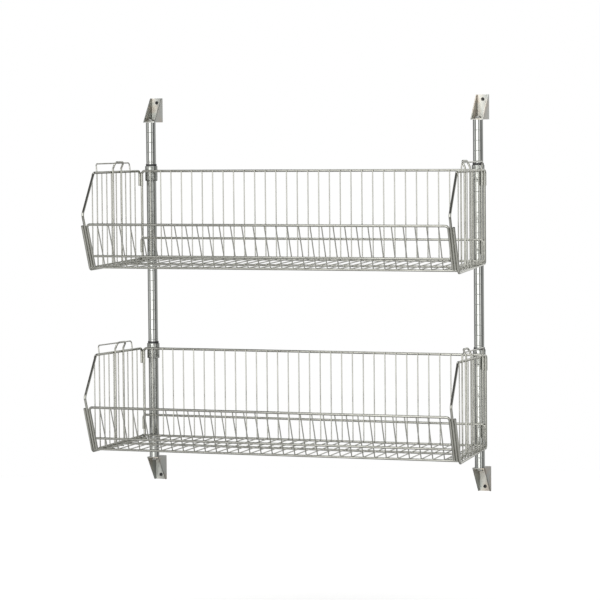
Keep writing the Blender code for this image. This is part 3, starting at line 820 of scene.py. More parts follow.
@dataclass(frozen=True)
class WallFrame:
    """Posts, plugs, brackets, bolts and sleeves, which stay on the wall.

    The shares are of half the width across the bolt head's flats, the groove's reach is
    in groove widths, and the seat's inset and the drill's half length are in sheets.
    """

    wardrobe: Wardrobe
    gap: float = 0.3 * MM
    post_diameter: float = 25.4 * MM
    post_wall: float = 1.5 * MM
    post_length: float = 863.6 * MM
    post_spacing: float = 889.0 * MM
    post_standoff: float = 41.0 * MM
    post_edge: float = 0.4 * MM
    post_sides: int = 48
    groove_pitch: float = 25.4 * MM
    groove_depth: float = 0.28 * MM
    groove_width: float = 1.6 * MM
    groove_reach: float = 0.75
    groove_points: int = 13
    plug_length: float = 18.0 * MM
    plug_edge: float = 0.5 * MM
    plug_sides: int = 40
    bolt_diameter: float = 8.0 * MM
    bolt_length: float = 18.0 * MM
    bolt_tip: float = 0.8 * MM
    bolt_sides: int = 72
    head_flats: float = 13.0 * MM
    head_height: float = 5.3 * MM
    head_chamfer: float = 1.2 * MM
    washer_height: float = 0.4 * MM
    washer_share: float = 0.98
    corner_share: float = 1.16
    crown_share: float = 0.93
    bracket_width: float = 33.0 * MM
    bracket_height: float = 62.0 * MM
    bracket_rows: int = 24
    seat_depth: float = 52.0 * MM
    seat_corner: float = 1.2 * MM
    seat_inset: float = 0.6
    tip_depth: float = 8.0 * MM
    sheet: float = 2.5 * MM
    fold: float = 3.2 * MM
    fold_steps: int = 6
    drill_sheets: float = 4.0
    hole_diameter: float = 9.0 * MM
    hole_inset: float = 11.6 * MM
    # The black plug in each screw hole is painted shade, a dark piece that stands for the shadow
    # inside the hole.
    wall_plug_bore: float = 2.2 * MM
    wall_plug_lip: float = 1.0 * MM
    wall_plug_dish: float = 1.2 * MM
    wall_plug_height: float = 1.9 * MM
    wall_plug_sunk: float = 2.0 * MM
    sleeve_height: float = 42.0 * MM
    sleeve_head_radius: float = 13.9 * MM
    sleeve_foot_radius: float = 14.7 * MM
    sleeve_slit: float = 1.2 * MM
    sleeve_edge: float = 0.25 * MM
    sleeve_sides: int = 32
    rib_height: float = 0.5 * MM
    rib_width: float = 1.4 * MM
    collar_above_rim: float = 12.4 * MM
    sleeve_above_collar: float = 5.3 * MM
    rim_above_groove: float = 2.6 * MM
    body: str = "wall_frame"

    def rim_height(self, level: Level) -> float:
        """Return the height of a basket's rim above the origin."""
        return level.value * self.groove_pitch + self.rim_above_groove - self.post_length / 2

    def sleeve_drop(self) -> float:
        """Return how far a sleeve's foot lies below the rim."""
        return self.sleeve_height - self.collar_above_rim - self.sleeve_above_collar

    def axis(self, side: Side, height: float = 0.0) -> np.ndarray:
        """Return the point of a post's axis at a height."""
        return np.array([side.value * self.post_spacing / 2, -self.post_standoff, height])

    def seat_point(self, side: Side, end: End) -> np.ndarray:
        """Return the point of the wall level with the post's side of a bracket's seat."""
        height = end.value * (self.post_length / 2 + self.gap)
        return self.axis(side, height) + self.post_standoff * TO_WALL

    def screw_point(self, side: Side, end: End) -> np.ndarray:
        """Return the middle of a bracket's screw hole, on the wall."""
        rise = end.value * (self.bracket_height - self.hole_inset)
        return self.seat_point(side, end) + rise * UP

    def show(self, node: str, form: str, surface: Surface, coat: Coat,
             smooth_angle: float = SOFT_ANGLE) -> None:
        """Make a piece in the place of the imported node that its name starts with."""
        piece = shaped(f"{node}_{form}", surface, coat.material, smooth_angle)
        publish(piece, self.body, coat.slot, node)

    def build(self) -> None:
        """Build every piece of the wall frame."""
        for side in Side:
            self.post(side, f"post_{side.label}")
            for end in End:
                place = f"{end.label}_{side.label}"
                self.plug(side, end, f"plug_{place}")
                self.bracket(side, end, f"bracket_{place}")
                # Painted shade: a dark plug that stands for the shadow in the screw hole.
                self.wall_plug(side, end, f"wall_plug_{place}")
                self.bolt(side, end, f"bolt_{place}")
            for level in Level:
                for half in Half:
                    self.sleeve(side, level, half,
                                f"{level.label}_sleeve_{side.label}_{half.label}")

    def post(self, side: Side, node: str) -> None:
        """Build a grooved post.

        The outer radius falls by the groove's depth times half of one plus the cosine of
        the distance from the nearest groove, measured in half widths and held at one.

        Args:
            side: which post.
            node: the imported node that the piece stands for.
        """
        outer, edge, length = self.post_diameter / 2, self.post_edge, self.post_length
        inner, count = outer - self.post_wall, round(length / self.groove_pitch) - 1
        middles = np.arange(1, count + 1) * self.groove_pitch
        offsets = (np.linspace(-self.groove_reach, self.groove_reach, self.groove_points)
                   * self.groove_width)
        heights = (middles[:, None] + offsets[None]).ravel()
        reach = np.abs(np.tile(offsets, count)) / (self.groove_width / 2)
        radii = outer - self.groove_depth * (1 + np.cos(math.pi * np.minimum(reach, 1.0))) / 2
        profile = np.vstack([[[inner, 0.0], [outer - edge, 0.0], [outer, edge]],
                             np.column_stack([radii, heights]),
                             [[outer, length - edge], [outer - edge, length], [inner, length]]])
        surface = turned(profile, self.post_sides).moved(self.axis(side, -length / 2))
        self.show(node, "grooved", surface, self.wardrobe.tube)

    def plug(self, side: Side, end: End, node: str) -> None:
        """Build the plug inside a post's end, a plain ring with broken edges.

        Args:
            side: which post.
            end: which end of it.
            node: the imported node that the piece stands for.
        """
        outer = self.post_diameter / 2 - self.post_wall - self.gap
        bore = self.bolt_diameter / 2 + self.gap
        low, high = sorted((0.0, -end.value * self.plug_length))
        profile = softened([(bore, low), (outer, low), (outer, high), (bore, high)],
                           self.plug_edge)
        place = self.axis(side, end.value * self.post_length / 2)
        surface = turned(profile, self.plug_sides).moved(place)
        self.show(node, "ring", surface, self.wardrobe.bolt)

    def channel(self) -> Surface:
        """Return a bracket's folded channel, standing on its seat with its back at Y = 0.

        Seen from above, the outer skin follows a U with round folds, and the inner skin is
        the same U drawn in by the sheet. At each height the cheeks end at a depth that
        falls in a straight line from the seat's depth to the tip's depth.
        """
        rows = self.bracket_rows
        height = np.linspace(0.0, self.bracket_height, rows)
        depth = self.seat_depth + (self.tip_depth - self.seat_depth) * height / height[-1]
        skins = []
        for inset, fold in ((0.0, self.fold), (self.sheet, self.fold - self.sheet)):
            x, y = self.bracket_width / 2 - inset, -inset
            lines = [bent(np.array([[-x, -reach, level], [-x, y, level], [x, y, level],
                                    [x, -reach, level]]), (fold, fold), self.fold_steps)
                     for reach, level in zip(depth, height)]
            skins.append(np.stack(lines))
        loop = np.concatenate([skins[0], skins[1][:, ::-1]], axis=1)
        count = loop.shape[1]
        foot = np.arange(count // 2 - 1)
        mate = count - 1 - foot
        base = np.stack([foot, foot + 1, mate - 1, mate], 1)
        top = (base + (rows - 1) * count)[:, ::-1]
        faces = np.vstack([grid_faces(rows, count, True), base, top])[:, ::-1]
        points = loop.reshape(-1, 3)
        x, y, z = points[faces.ravel()].T
        return Surface(points, faces.tolist(), np.stack([x + y, z + y], 1))

    def seat(self) -> Surface:
        """Return a bracket's seat, a plate whose front edge has rounded corners."""
        inset = self.sheet * self.seat_inset
        x, near = self.bracket_width / 2 - inset, -inset
        outline = softened([(-x, near), (-x, -self.seat_depth), (x, -self.seat_depth), (x, near)],
                           self.seat_corner)
        count = len(outline)
        points = np.vstack([np.column_stack([outline, np.full(count, height)])
                            for height in (0.0, self.sheet)])
        faces = grid_faces(2, count, True).tolist() + lids(2, count)
        return Surface(points, faces, flat_uv(points, faces))

    def drill(self, name: str, radius: float, place: Matrix) -> bpy.types.Object:
        """Return a drill body, long enough for any of the sheets.

        Args:
            name: name of the body.
            radius: radius of the hole.
            place: matrix whose Z axis is the hole's.

        Returns:
            The body.
        """
        reach = self.drill_sheets * self.sheet
        profile = np.array([[0.0, -reach], [radius, -reach], [radius, reach], [0.0, reach]])
        body = shaped(name, spun(profile), self.wardrobe.sheet.material)
        body.data.transform(place)
        return body

    def bracket(self, side: Side, end: End, node: str) -> None:
        """Build a wall bracket: channel and seat joined, drilled for screw and bolt.

        Args:
            side: which post.
            end: which end of it.
            node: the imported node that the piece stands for.
        """
        coat, corner = self.wardrobe.sheet, self.seat_point(side, end)
        piece, seat = (shaped(f"{node}_{name}", surface.mapped(end.flip, corner), coat.material)
                       for name, surface in (("folded", self.channel()), ("seat", self.seat())))
        tipped = Matrix.Rotation(math.pi / 2, 4, "X")
        screw = self.drill(node + "_screw", self.hole_diameter / 2,
                           Matrix.Translation(self.screw_point(side, end)) @ tipped)
        through = self.drill(node + "_through", self.bolt_diameter / 2 + self.gap,
                             Matrix.Translation(corner - self.post_standoff * TO_WALL))
        cut(piece, (seat, "UNION"), (screw, "DIFFERENCE"), (through, "DIFFERENCE"))
        publish(piece, self.body, coat.slot, node)

    def wall_plug(self, side: Side, end: End, name: str) -> None:
        """Build the black plug that shows in a bracket's screw hole, dished for the screw:
        painted shade, a dark piece that stands for the shadow inside the hole.

        Args:
            side: which post.
            end: which end of it.
            name: the piece's name.
        """
        outer, low = self.hole_diameter / 2 - self.gap / 2, -self.wall_plug_height
        dish = -self.wall_plug_dish
        profile = np.array([(0.0, low), (outer, low), (outer, 0.0),
                            (outer - self.wall_plug_lip, 0.0), (self.wall_plug_bore, dish),
                            (0.0, dish)])
        place = self.screw_point(side, end) - self.wall_plug_sunk * TO_WALL
        coat = self.wardrobe.plastic
        piece = shaped(name, spun(profile).mapped(TIPPED, place), coat.material)
        publish(piece, self.body, coat.slot)

    def bolt(self, side: Side, end: End, node: str) -> None:
        """Build a hexagon bolt whose head bears on the bracket's seat.

        The head's radius at an angle is half the width across flats divided by the cosine
        of the angle from the nearest flat, held inside a cone that breaks its corners.

        Args:
            side: which post.
            end: which end of it.
            node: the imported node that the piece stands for.
        """
        half, shank, sixth = self.head_flats / 2, self.bolt_diameter / 2, math.pi / 3
        corner, length, top = half * self.corner_share, self.bolt_length, self.head_height
        surface = spun(np.array([
            (0.0, -length), (shank - self.bolt_tip, -length), (shank, self.bolt_tip - length),
            (shank, 0.0), (half * self.washer_share, 0.0), (corner, self.washer_height),
            (corner, top - self.head_chamfer), (half * self.crown_share, top), (0.0, top)]),
            self.bolt_sides)
        x, y = surface.points[:, 0], surface.points[:, 1]
        sector = np.mod(np.arctan2(y, x) + sixth / 2, sixth) - sixth / 2
        radius = np.hypot(x, y)
        scale = np.minimum(radius, half / np.cos(sector)) / np.maximum(radius, self.gap)
        surface.points[:, :2] *= scale[:, None]
        low = self.post_length / 2 + self.sheet + 2 * self.gap
        self.show(node, "hexagon", surface.mapped(end.flip, self.axis(side, end.value * low)),
                  self.wardrobe.bolt, CRISP_ANGLE)

    def sleeve(self, side: Side, level: Level, half: Half, node: str) -> None:
        """Build one half of a tapered split sleeve, with its rib in the post's groove.

        Args:
            side: which post.
            level: which basket it holds.
            half: which half of the sleeve.
            node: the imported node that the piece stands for.
        """
        inner = self.post_diameter / 2 + self.gap
        rib = self.sleeve_drop() - self.rim_above_groove
        skin = softened([(inner, 0.0), (self.sleeve_foot_radius, 0.0),
                         (self.sleeve_head_radius, self.sleeve_height),
                         (inner, self.sleeve_height)], self.sleeve_edge, steps=2)
        profile = np.vstack([skin, [[inner, rib + self.rib_width / 2],
                                    [inner - self.rib_height, rib],
                                    [inner, rib - self.rib_width / 2]]])
        slit = self.sleeve_slit / 2 / inner
        start = (math.pi if half is Half.FRONT else 0.0) + slit
        surface = turned(profile, self.sleeve_sides, start, math.pi - 2 * slit)
        foot = self.axis(side, self.rim_height(level) - self.sleeve_drop())
        self.show(node, "shell", surface.moved(foot), self.wardrobe.plastic)


# ---------------------------------------------------------------- baskets


@dataclass(frozen=True)
class BasketPlan:
    """Sizes of a basket. Depths run forward from the rim, and drops run down from it."""

    frame_gauge: float = 6.4 * MM
    rail_gauge: float = 5.0 * MM
    rail_drawn: float = 5.8 * MM
    side_gauge: float = 4.0 * MM
    mesh_gauge: float = 2.9 * MM
    guard_gauge: float = 3.4 * MM
    gap: float = 0.3 * MM
    sink: float = 0.9 * MM
    half_length: float = 469.0 * MM
    end_flare: float = 15.0 * MM
    nose_depth: float = 307.0 * MM
    top_setback: float = 61.0 * MM
    toe_setback: float = 49.5 * MM
    floor_drop: float = 235.0 * MM
    back_lift: float = 11.0 * MM
    nose_drop: float = 103.0 * MM
    lip_below_nose: float = 25.0 * MM
    toe_below_floor: float = 5.0 * MM
    front_rail_rise: float = 27.0 * MM
    back_rail_rise: float = 63.0 * MM
    mat_wires: int = 31
    mat_margin: float = 33.0 * MM
    mat_bend: float = 6.0 * MM
    top_rise: float = 2.0 * MM
    uprights: int = 10
    upright_pitch: float = 25.4 * MM
    upright_start: float = 19.0 * MM
    upright_bend: float = 5.0 * MM
    foot_overlap: float = 4.0 * MM
    guard_rise: float = 22.0 * MM
    guard_flare: float = 2.5 * MM
    guard_bend: float = 7.0 * MM
    leg_drop: float = 38.0 * MM
    back_rail_leg: float = 37.0 * MM
    corner_bend: float = 8.0 * MM
    nose_bend: float = 14.0 * MM
    cut_below_lip: float = 3.0 * MM
    side_inset: float = 8.0 * MM
    handle_width: float = 43.6 * MM
    handle_rise: float = 25.0 * MM
    handle_lean: float = 7.6 * MM
    handle_shoulder: float = 9.0 * MM
    handle_bend: float = 8.0 * MM
    collar_diameter: float = 32.0 * MM
    collar_height: float = 38.0 * MM
    collar_chamfer: float = 1.0 * MM
    collar_edge: float = 0.3 * MM
    chamfer_rise: float = 3.0 * MM
    weld_flatness: float = 0.62
    weld_spread: float = 0.72
    upright_weld: float = 1.7 * MM
    lip_weld_drop: float = 1.0 * MM

    @property
    def splay(self) -> float:
        """Angle by which an end panel opens towards the front."""
        return math.atan2(self.end_flare, self.nose_depth)

    @property
    def lean(self) -> float:
        """Angle of the sloping front from upright."""
        return math.atan2(self.toe_setback,
                          self.floor_drop + self.toe_below_floor - self.nose_drop)

    @property
    def top_depth(self) -> float:
        """Depth of an end frame's top corner."""
        return self.nose_depth - self.top_setback

    @property
    def mat_offset(self) -> float:
        """Distance of the mat's wires inward from the frame's centre lines."""
        return (self.frame_gauge + self.mesh_gauge) / 2 + self.gap

    @property
    def rail_step(self) -> float:
        """Distance of a rail's centre line from a frame's where they lie side by side."""
        return (self.frame_gauge + self.rail_gauge) / 2 + self.gap

    @property
    def side_step(self) -> float:
        """Distance between two frame wires that lie side by side."""
        return self.frame_gauge + self.gap

    @property
    def feet_drop(self) -> float:
        """Drop of the uprights' feet, which run in under the mat."""
        return self.floor_drop + self.mesh_gauge + self.gap

    @property
    def base_drop(self) -> float:
        """Drop of the base frame's floor run."""
        return self.feet_drop + (self.mesh_gauge + self.frame_gauge) / 2 - self.sink

    @property
    def side_drop(self) -> float:
        """Drop of the side wire that lies on the uprights' feet."""
        return self.feet_drop - (self.mesh_gauge + self.side_gauge) / 2 - self.gap

    @property
    def upright_out(self) -> float:
        """Distance of the uprights outward from an end frame."""
        return (self.frame_gauge + self.mesh_gauge) / 2 - self.sink

    @property
    def foot_out(self) -> float:
        """Distance of the uprights' inner ends from an end frame, negative inward."""
        return -(self.mat_margin + self.foot_overlap)

    def end_x(self, depth: float, out: float = 0.0) -> float:
        """Return the distance from the basket's middle to an end panel at a depth."""
        return self.half_length + depth * math.tan(self.splay) + out

    def lift(self, depth: float) -> float:
        """Return how far the floor, which climbs to the back, stands above its toe."""
        toe = self.nose_depth - self.toe_setback
        return (self.mat_toe()[0] - depth) * self.back_lift / toe

    def front(self, along: float = 0.0, inward: float = 0.0) -> Pair:
        """Return depth and drop in the sloping front.

        Args:
            along: distance down the front from the lip.
            inward: distance square to the front, into the basket.

        Returns:
            The depth and the drop.
        """
        lip_depth = self.nose_depth - self.lip_below_nose * math.tan(self.lean)
        sine, cosine = math.sin(self.lean), math.cos(self.lean)
        return (lip_depth - along * sine - inward * cosine,
                self.nose_drop + self.lip_below_nose + along * cosine - inward * sine)

    def along(self, drop: float, inward: float = 0.0) -> float:
        """Return the distance down the front at which a line has a drop."""
        return (drop - self.front(0.0, inward)[1]) / math.cos(self.lean)

    def mat_toe(self) -> Pair:
        """Return depth and drop of the sharp corner between the mat's floor and front."""
        return self.front(self.along(self.floor_drop, self.mat_offset), self.mat_offset)

    def mat_heel(self) -> Pair:
        """Return depth and drop of the sharp corner between the mat's back and floor."""
        return self.mat_offset, self.floor_drop - self.lift(self.mat_offset)

    def crook(self, *stops: Pair) -> Pair:
        """Return the place of the wire that lies outside the bend at a mat's corner.

        It stands on the line that halves the corner, out from the bend's chord by both
        wires' half gauges and the gap.

        Args:
            stops: depth and drop of the corner before, the corner and the one after it.

        Returns:
            Depth and drop of the wire's centre.
        """
        before, middle, after = np.array(stops)
        back, ahead = unit(before - middle), unit(after - middle)
        half = math.cos((math.pi - math.acos(float(back @ ahead))) / 2)
        reach = (self.mat_bend * (half - 1 / half) + self.gap
                 + (self.mesh_gauge + self.rail_gauge) / 2)
        depth, drop = middle - unit(back + ahead) * reach
        return float(depth), float(drop)

    def front_foot(self) -> Pair:
        """Return depth and drop of the foot wire under the mat's toe."""
        return self.crook(self.mat_heel(), self.mat_toe(), self.front(0.0, self.mat_offset))

    def back_foot(self) -> Pair:
        """Return depth and drop of the foot wire behind and under the mat's heel."""
        return self.crook((self.mat_offset, 0.0), self.mat_heel(), self.mat_toe())

    def front_end(self) -> Pair:
        """Return depth and drop where the front's wires stop above the foot wire."""
        depth, drop = self.front_foot()
        lip_depth, lip_drop = self.front()
        along = ((lip_depth - depth) * math.sin(self.lean)
                 + (drop - lip_drop) * math.cos(self.lean))
        return self.front(along - self.rail_gauge / 2 - self.gap)


@dataclass(frozen=True, kw_only=True)
class Basket(BasketPlan):
    """One basket: bent mat, rim, lip, rails, end panels, handles and collars."""

    level: Level
    wall: WallFrame
    welds: list[tuple[np.ndarray, np.ndarray]] = field(default_factory=list)

    @property
    def body(self) -> str:
        """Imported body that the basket's pieces ride on."""
        return f"{self.level.label}_basket"

    @property
    def rim_y(self) -> float:
        """Place of the rim in front of the wall."""
        return -(self.wall.post_standoff + (self.collar_diameter + self.frame_gauge) / 2
                 + self.gap)

    @property
    def rim_z(self) -> float:
        """Height of the rim."""
        return self.wall.rim_height(self.level)

    def spots(self, stops: list[Triple]) -> np.ndarray:
        """Return the places of stops given by X, depth and drop."""
        corner = np.array([0.0, self.rim_y, self.rim_z])
        return corner + np.array(stops) * np.array([1.0, -1.0, -1.0])

    def line(self, stops: list[Triple], *bends: float) -> np.ndarray:
        """Return a path through such stops, with a bend at each of the inner ones."""
        return bent(self.spots(stops), bends)

    def outward(self, side: Side) -> np.ndarray:
        """Return the outward normal of an end panel."""
        splay = side.value * self.splay
        return side.value * np.array([math.cos(splay), math.sin(splay), 0.0])

    def forward(self, side: Side) -> np.ndarray:
        """Return the direction in which an end panel runs forward or back."""
        return np.cross(self.outward(side), UP)

    def panel_spots(self, side: Side, stops: list[Triple]) -> np.ndarray:
        """Return the places of stops given by distance outward, depth and drop.

        A stop lies its distance along the panel's normal from the panel's line, which
        leaves the rim's end at the splay and is as far along as the depth asks.

        Args:
            side: which end.
            stops: the stops.

        Returns:
            The places, shape (n, 3).
        """
        out, depth, drop = np.array(stops).T[..., None]
        splay = side.value * self.splay
        ahead = np.array([math.sin(splay), -math.cos(splay), 0.0])
        start = np.array([side.value * self.half_length, self.rim_y, self.rim_z])
        return start + out * self.outward(side) + depth / math.cos(splay) * ahead - drop * UP

    def panel_line(self, side: Side, stops: list[Triple], *bends: float) -> np.ndarray:
        """Return a path through such stops, with a bend at each of the inner ones."""
        return bent(self.panel_spots(side, stops), bends)

    def yoke(self, ends: Triple, bends: Triple) -> np.ndarray:
        """Return the path of a lengthwise wire whose two ends turn down alike.

        Args:
            ends: half length, depth and drop of the cut ends.
            bends: half length, depth and drop of the bends.

        Returns:
            The path, from left to right.
        """
        return self.line([(-ends[0], *ends[1:]), (-bends[0], *bends[1:]), bends, ends],
                         self.corner_bend, self.corner_bend)

    def bar(self, half: float, depth: float, drop: float) -> np.ndarray:
        """Return the path of a straight lengthwise wire, from left to right."""
        return self.line([(-half, depth, drop), (half, depth, drop)])

    def arch(self, side: Side, depths: Pair, leg: Callable[[float], list[Pair]],
             *bends: float) -> np.ndarray:
        """Return a path up one leg, along a bar and down a like leg further forward.

        Args:
            side: which end.
            depths: depth of either leg.
            leg: gives distance outward and drop of the stops of a leg at a depth, from
                its foot to the bar.
            bends: bend radii of a leg, from its foot to the bar.

        Returns:
            The path.
        """
        rear, front = depths
        stops = [(out, rear, drop) for out, drop in leg(rear)]
        stops += [(out, front, drop) for out, drop in reversed(leg(front))]
        return self.panel_line(side, stops, *bends, *reversed(bends))

    def note_welds(self, centres: np.ndarray, first: np.ndarray, second: np.ndarray,
                   size: float) -> None:
        """Remember weld beads where wires along two directions touch.

        Args:
            centres: places of the beads, shape (n, 3).
            first: direction of one wire.
            second: direction of the other.
            size: half size of a bead.
        """
        one, two = unit(first), unit(second)
        axes = np.stack([one, two, np.cross(one, two) * self.weld_flatness]) * size
        self.welds.append((centres, np.tile(axes, (len(centres), 1, 1))))

    def show(self, node: str, surface: Surface, coat: Coat | None = None) -> None:
        """Make a piece of wire, or of another coat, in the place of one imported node."""
        name, coat = f"{self.level.label}_{node}", coat or self.wall.wardrobe.wire
        publish(shaped(name + "_drawn", surface, coat.material), self.body, coat.slot, name)

    def build(self) -> None:
        """Build every piece of the basket."""
        self.rim_and_lip()
        self.rails()
        self.mat()
        for side in Side:
            self.end_panel(side)
            self.side_wire(side)
            self.handle(side)
            self.collar(side)
        self.weld_beads()

    def rim_and_lip(self) -> None:
        """Build the rim and the lip, whose ends turn down beside the end frames."""
        half = self.end_x(0.0, -self.side_step)
        rim = self.yoke((half, 0.0, self.leg_drop), (half, 0.0, 0.0))
        self.show("rim_wire", wire(rim, self.frame_gauge, TO_WALL))
        foot, head = ((self.end_x(depth, -self.side_step), depth, drop)
                      for depth, drop in (self.front_end(), self.front()))
        normal = np.array([0.0, math.cos(self.lean), math.sin(self.lean)])
        self.show("lip_wire", wire(self.yoke(foot, head), self.frame_gauge, normal))

    def rails(self) -> None:
        """Build the lower back wire with its turned ends and the three straight wires."""
        shift = (self.frame_gauge - self.rail_gauge) / 2
        half = self.end_x(0.0, -self.side_step / 2)
        drop = self.floor_drop - self.back_rail_rise
        back, foot = self.back_foot(), self.front_foot()
        rail = self.front(self.along(self.floor_drop - self.front_rail_rise), shift)
        inside = self.end_x(rail[0], -self.side_step) - self.frame_gauge / 2 - self.gap
        paths = {
            "back_rail": self.yoke((half, shift, drop + self.back_rail_leg),
                                   (half, shift, drop)),
            "back_foot_wire": self.bar(
                self.end_x(back[0], (self.rail_gauge - self.side_step) / 2), *back),
            "front_rail": self.bar(inside, *rail),
            "front_foot_wire": self.bar(self.end_x(foot[0], self.frame_gauge / 2), *foot)}
        for node, path in paths.items():
            self.show(node, wire(path, self.rail_drawn, TO_WALL))

    def mat(self) -> None:
        """Build the mat of bent wires with the wire that ties its floor."""
        stops = ((self.mat_offset, -self.top_rise), self.mat_heel(), self.mat_toe(),
                 self.front(0.0, self.mat_offset))
        shares = np.linspace(-1.0, 1.0, self.mat_wires)
        wires = []
        for share in shares:
            path = self.line([(share * self.end_x(depth, -self.mat_margin), depth, drop)
                              for depth, drop in stops], self.mat_bend, self.mat_bend)
            wires.append(wire(path, self.mesh_gauge, SIDEWAYS, THIN_SIDES))
        middle = self.upright_start + (self.uprights // 2 - 0.5) * self.upright_pitch
        tie_drop = (self.floor_drop - self.lift(middle) - self.sink
                    + (self.mesh_gauge + self.rail_gauge) / 2)
        tie = self.bar(self.end_x(middle, self.rail_gauge - self.mat_margin), middle, tie_drop)
        wires.append(wire(tie, self.rail_drawn, TO_WALL))
        self.show("wire_mat", joined(wires))
        self.mat_welds(shares, middle)

    def mat_welds(self, shares: np.ndarray, middle: float) -> None:
        """Remember the beads where the mat's wires meet the lengthwise wires.

        Args:
            shares: place of each mat wire, as a share of the half length.
            middle: depth of the floor tie.
        """
        skin = self.mat_offset - self.mesh_gauge / 2
        down = np.array([0.0, math.sin(self.lean), -math.cos(self.lean)])
        rail = self.along(self.floor_drop - self.front_rail_rise)
        seams = [((self.frame_gauge / 2, 0.0), UP),
                 ((self.frame_gauge / 2, self.floor_drop - self.back_rail_rise), UP),
                 ((middle, self.floor_drop - self.lift(middle) + self.mesh_gauge / 2), TO_WALL),
                 (self.front(self.lip_weld_drop, skin), down),
                 (self.front(rail, skin), down)]
        for (depth, drop), direction in seams:
            centres = self.spots([(share * self.end_x(depth, -self.mat_margin), depth, drop)
                                  for share in shares])
            self.note_welds(centres, SIDEWAYS, direction, self.rail_gauge / 2 * self.weld_spread)

    def end_panel(self, side: Side) -> None:
        """Build an end panel: end frame, base frame, uprights and guard rail.

        Args:
            side: which end.
        """
        depths = self.upright_start + np.arange(self.uprights) * self.upright_pitch
        slope = self.nose_drop / (self.nose_depth - self.top_depth)
        tops = np.where(depths > self.top_depth, (depths - self.top_depth) * slope,
                        -self.top_rise)
        rear, front = 1, self.uprights - 2
        parts = [self.end_frame(side), self.base_frame(side)]
        parts += [self.upright(side, depths[number], tops[number])
                  for number in range(self.uprights) if number not in (rear, front)]
        parts.append(self.guard(side, depths[rear], depths[front]))
        self.show(f"end_panel_{side.label}", joined(parts))
        self.panel_welds(side, depths[:-1])

    def end_frame(self, side: Side) -> Surface:
        """Return the frame that runs over an end and down its sloping front.

        Args:
            side: which end.

        Returns:
            The wire.
        """
        stops = [(0.0, 0.0, self.leg_drop), (0.0, 0.0, 0.0), (0.0, self.top_depth, 0.0),
                 (0.0, self.nose_depth, self.nose_drop), (0.0, *self.front_end())]
        path = self.panel_line(side, stops, self.corner_bend, self.corner_bend, self.nose_bend)
        return wire(path, self.frame_gauge, self.outward(side))

    def base_frame(self, side: Side) -> Surface:
        """Return the frame beside it, from the lip down, under the floor and up the back.

        Args:
            side: which end.

        Returns:
            The wire.
        """
        out, depth = -self.side_step / 2, -self.rail_step
        stops = [(self.side_step, *self.front(self.cut_below_lip)),
                 (self.side_step, *self.front(self.along(self.base_drop))),
                 (out, depth, self.base_drop - self.lift(depth)),
                 (out, depth, self.frame_gauge / 2)]
        path = self.panel_line(side, stops, self.corner_bend, self.corner_bend)
        return wire(path, self.frame_gauge, self.outward(side))

    def upright(self, side: Side, depth: float, top: float) -> Surface:
        """Return one upright, from its head to its foot under the mat.

        Args:
            side: which end.
            depth: its depth.
            top: drop of its head.

        Returns:
            The wire.
        """
        out, drop = self.upright_out, self.feet_drop - self.lift(depth)
        stops = [(out, depth, top), (out, depth, drop), (self.foot_out, depth, drop)]
        path = self.panel_line(side, stops, self.upright_bend)
        return wire(path, self.mesh_gauge, self.forward(side), THIN_SIDES)

    def guard(self, side: Side, rear: float, front: float) -> Surface:
        """Return the wire of two uprights that rises over the rim as a guard rail.

        Its feet bend in a plane square to the panel and its bar bends in the panel, so
        the plane's normal leans half way between the two.

        Args:
            side: which end.
            rear: depth of the rear upright.
            front: depth of the front one.

        Returns:
            The wire.
        """
        out, bar = self.upright_out, self.upright_out + self.guard_flare

        def leg(depth: float) -> list[Pair]:
            """Return distance outward and drop of a leg's stops, from its foot to the bar."""
            drop = self.feet_drop - self.lift(depth)
            return [(self.foot_out, drop), (out, drop), (out, 0.0), (bar, -self.guard_rise)]

        path = self.arch(side, (rear, front), leg,
                         self.upright_bend, self.upright_bend, self.guard_bend)
        tilted = unit(self.outward(side) + self.forward(side))
        return wire(path, self.guard_gauge, tilted, THIN_SIDES)

    def panel_welds(self, side: Side, depths: np.ndarray) -> None:
        """Remember the beads where the uprights cross the rim and the base frame.

        Args:
            side: which end.
            depths: depths of the uprights that reach the rim.
        """
        rim = [(self.frame_gauge / 2, depth, 0.0) for depth in depths]
        feet = [(self.side_step / 2, depth,
                 self.feet_drop - self.lift(depth) + self.mesh_gauge / 2) for depth in depths]
        for stops, direction in ((rim, UP), (feet, self.outward(side))):
            self.note_welds(self.panel_spots(side, stops), self.forward(side), direction,
                            self.upright_weld)

    def side_wire(self, side: Side) -> None:
        """Build the floor wire that lies on the uprights' feet."""
        path = self.panel_line(side, [(-self.rail_step, depth, self.side_drop - self.lift(depth))
                                      for depth in (self.side_inset, self.top_depth)])
        self.show(f"side_wire_{side.label}", wire(path, self.side_gauge, self.outward(side)))

    def handle(self, side: Side) -> None:
        """Build a carrying handle, whose bar leans inward over the rim.

        Args:
            side: which end.
        """
        foot = self.side_drop - self.side_gauge / 2 - self.gap
        out, bar = -self.rail_step, -self.rail_step - self.handle_lean
        middle = self.upright_start + self.upright_pitch * (self.uprights - 1) / 2
        path = self.arch(
            side, (middle - self.handle_width / 2, middle + self.handle_width / 2),
            lambda depth: [(out, foot - self.lift(depth)), (out, -self.handle_shoulder),
                           (bar, -self.handle_rise)], self.handle_bend, self.handle_bend)
        self.show(f"handle_{side.label}", wire(path, self.rail_gauge, self.outward(side)))

    def collar(self, side: Side) -> None:
        """Build a collar whose bore follows the sleeve's taper.

        Args:
            side: which end.
        """
        wall, outer = self.wall, self.collar_diameter / 2
        taper = (wall.sleeve_foot_radius - wall.sleeve_head_radius) / wall.sleeve_height
        head, foot = wall.collar_above_rim, wall.collar_above_rim - self.collar_height
        bore = wall.sleeve_foot_radius + wall.gap - (foot + wall.sleeve_drop()) * taper
        profile = softened([(bore, foot), (outer - self.collar_chamfer / 2, foot),
                            (outer, foot + self.chamfer_rise), (outer, head),
                            (bore - self.collar_height * taper, head)],
                           self.collar_edge, steps=3)
        surface = turned(profile).moved(wall.axis(side, self.rim_z))
        self.show(f"collar_{side.label}", surface, wall.wardrobe.collar)

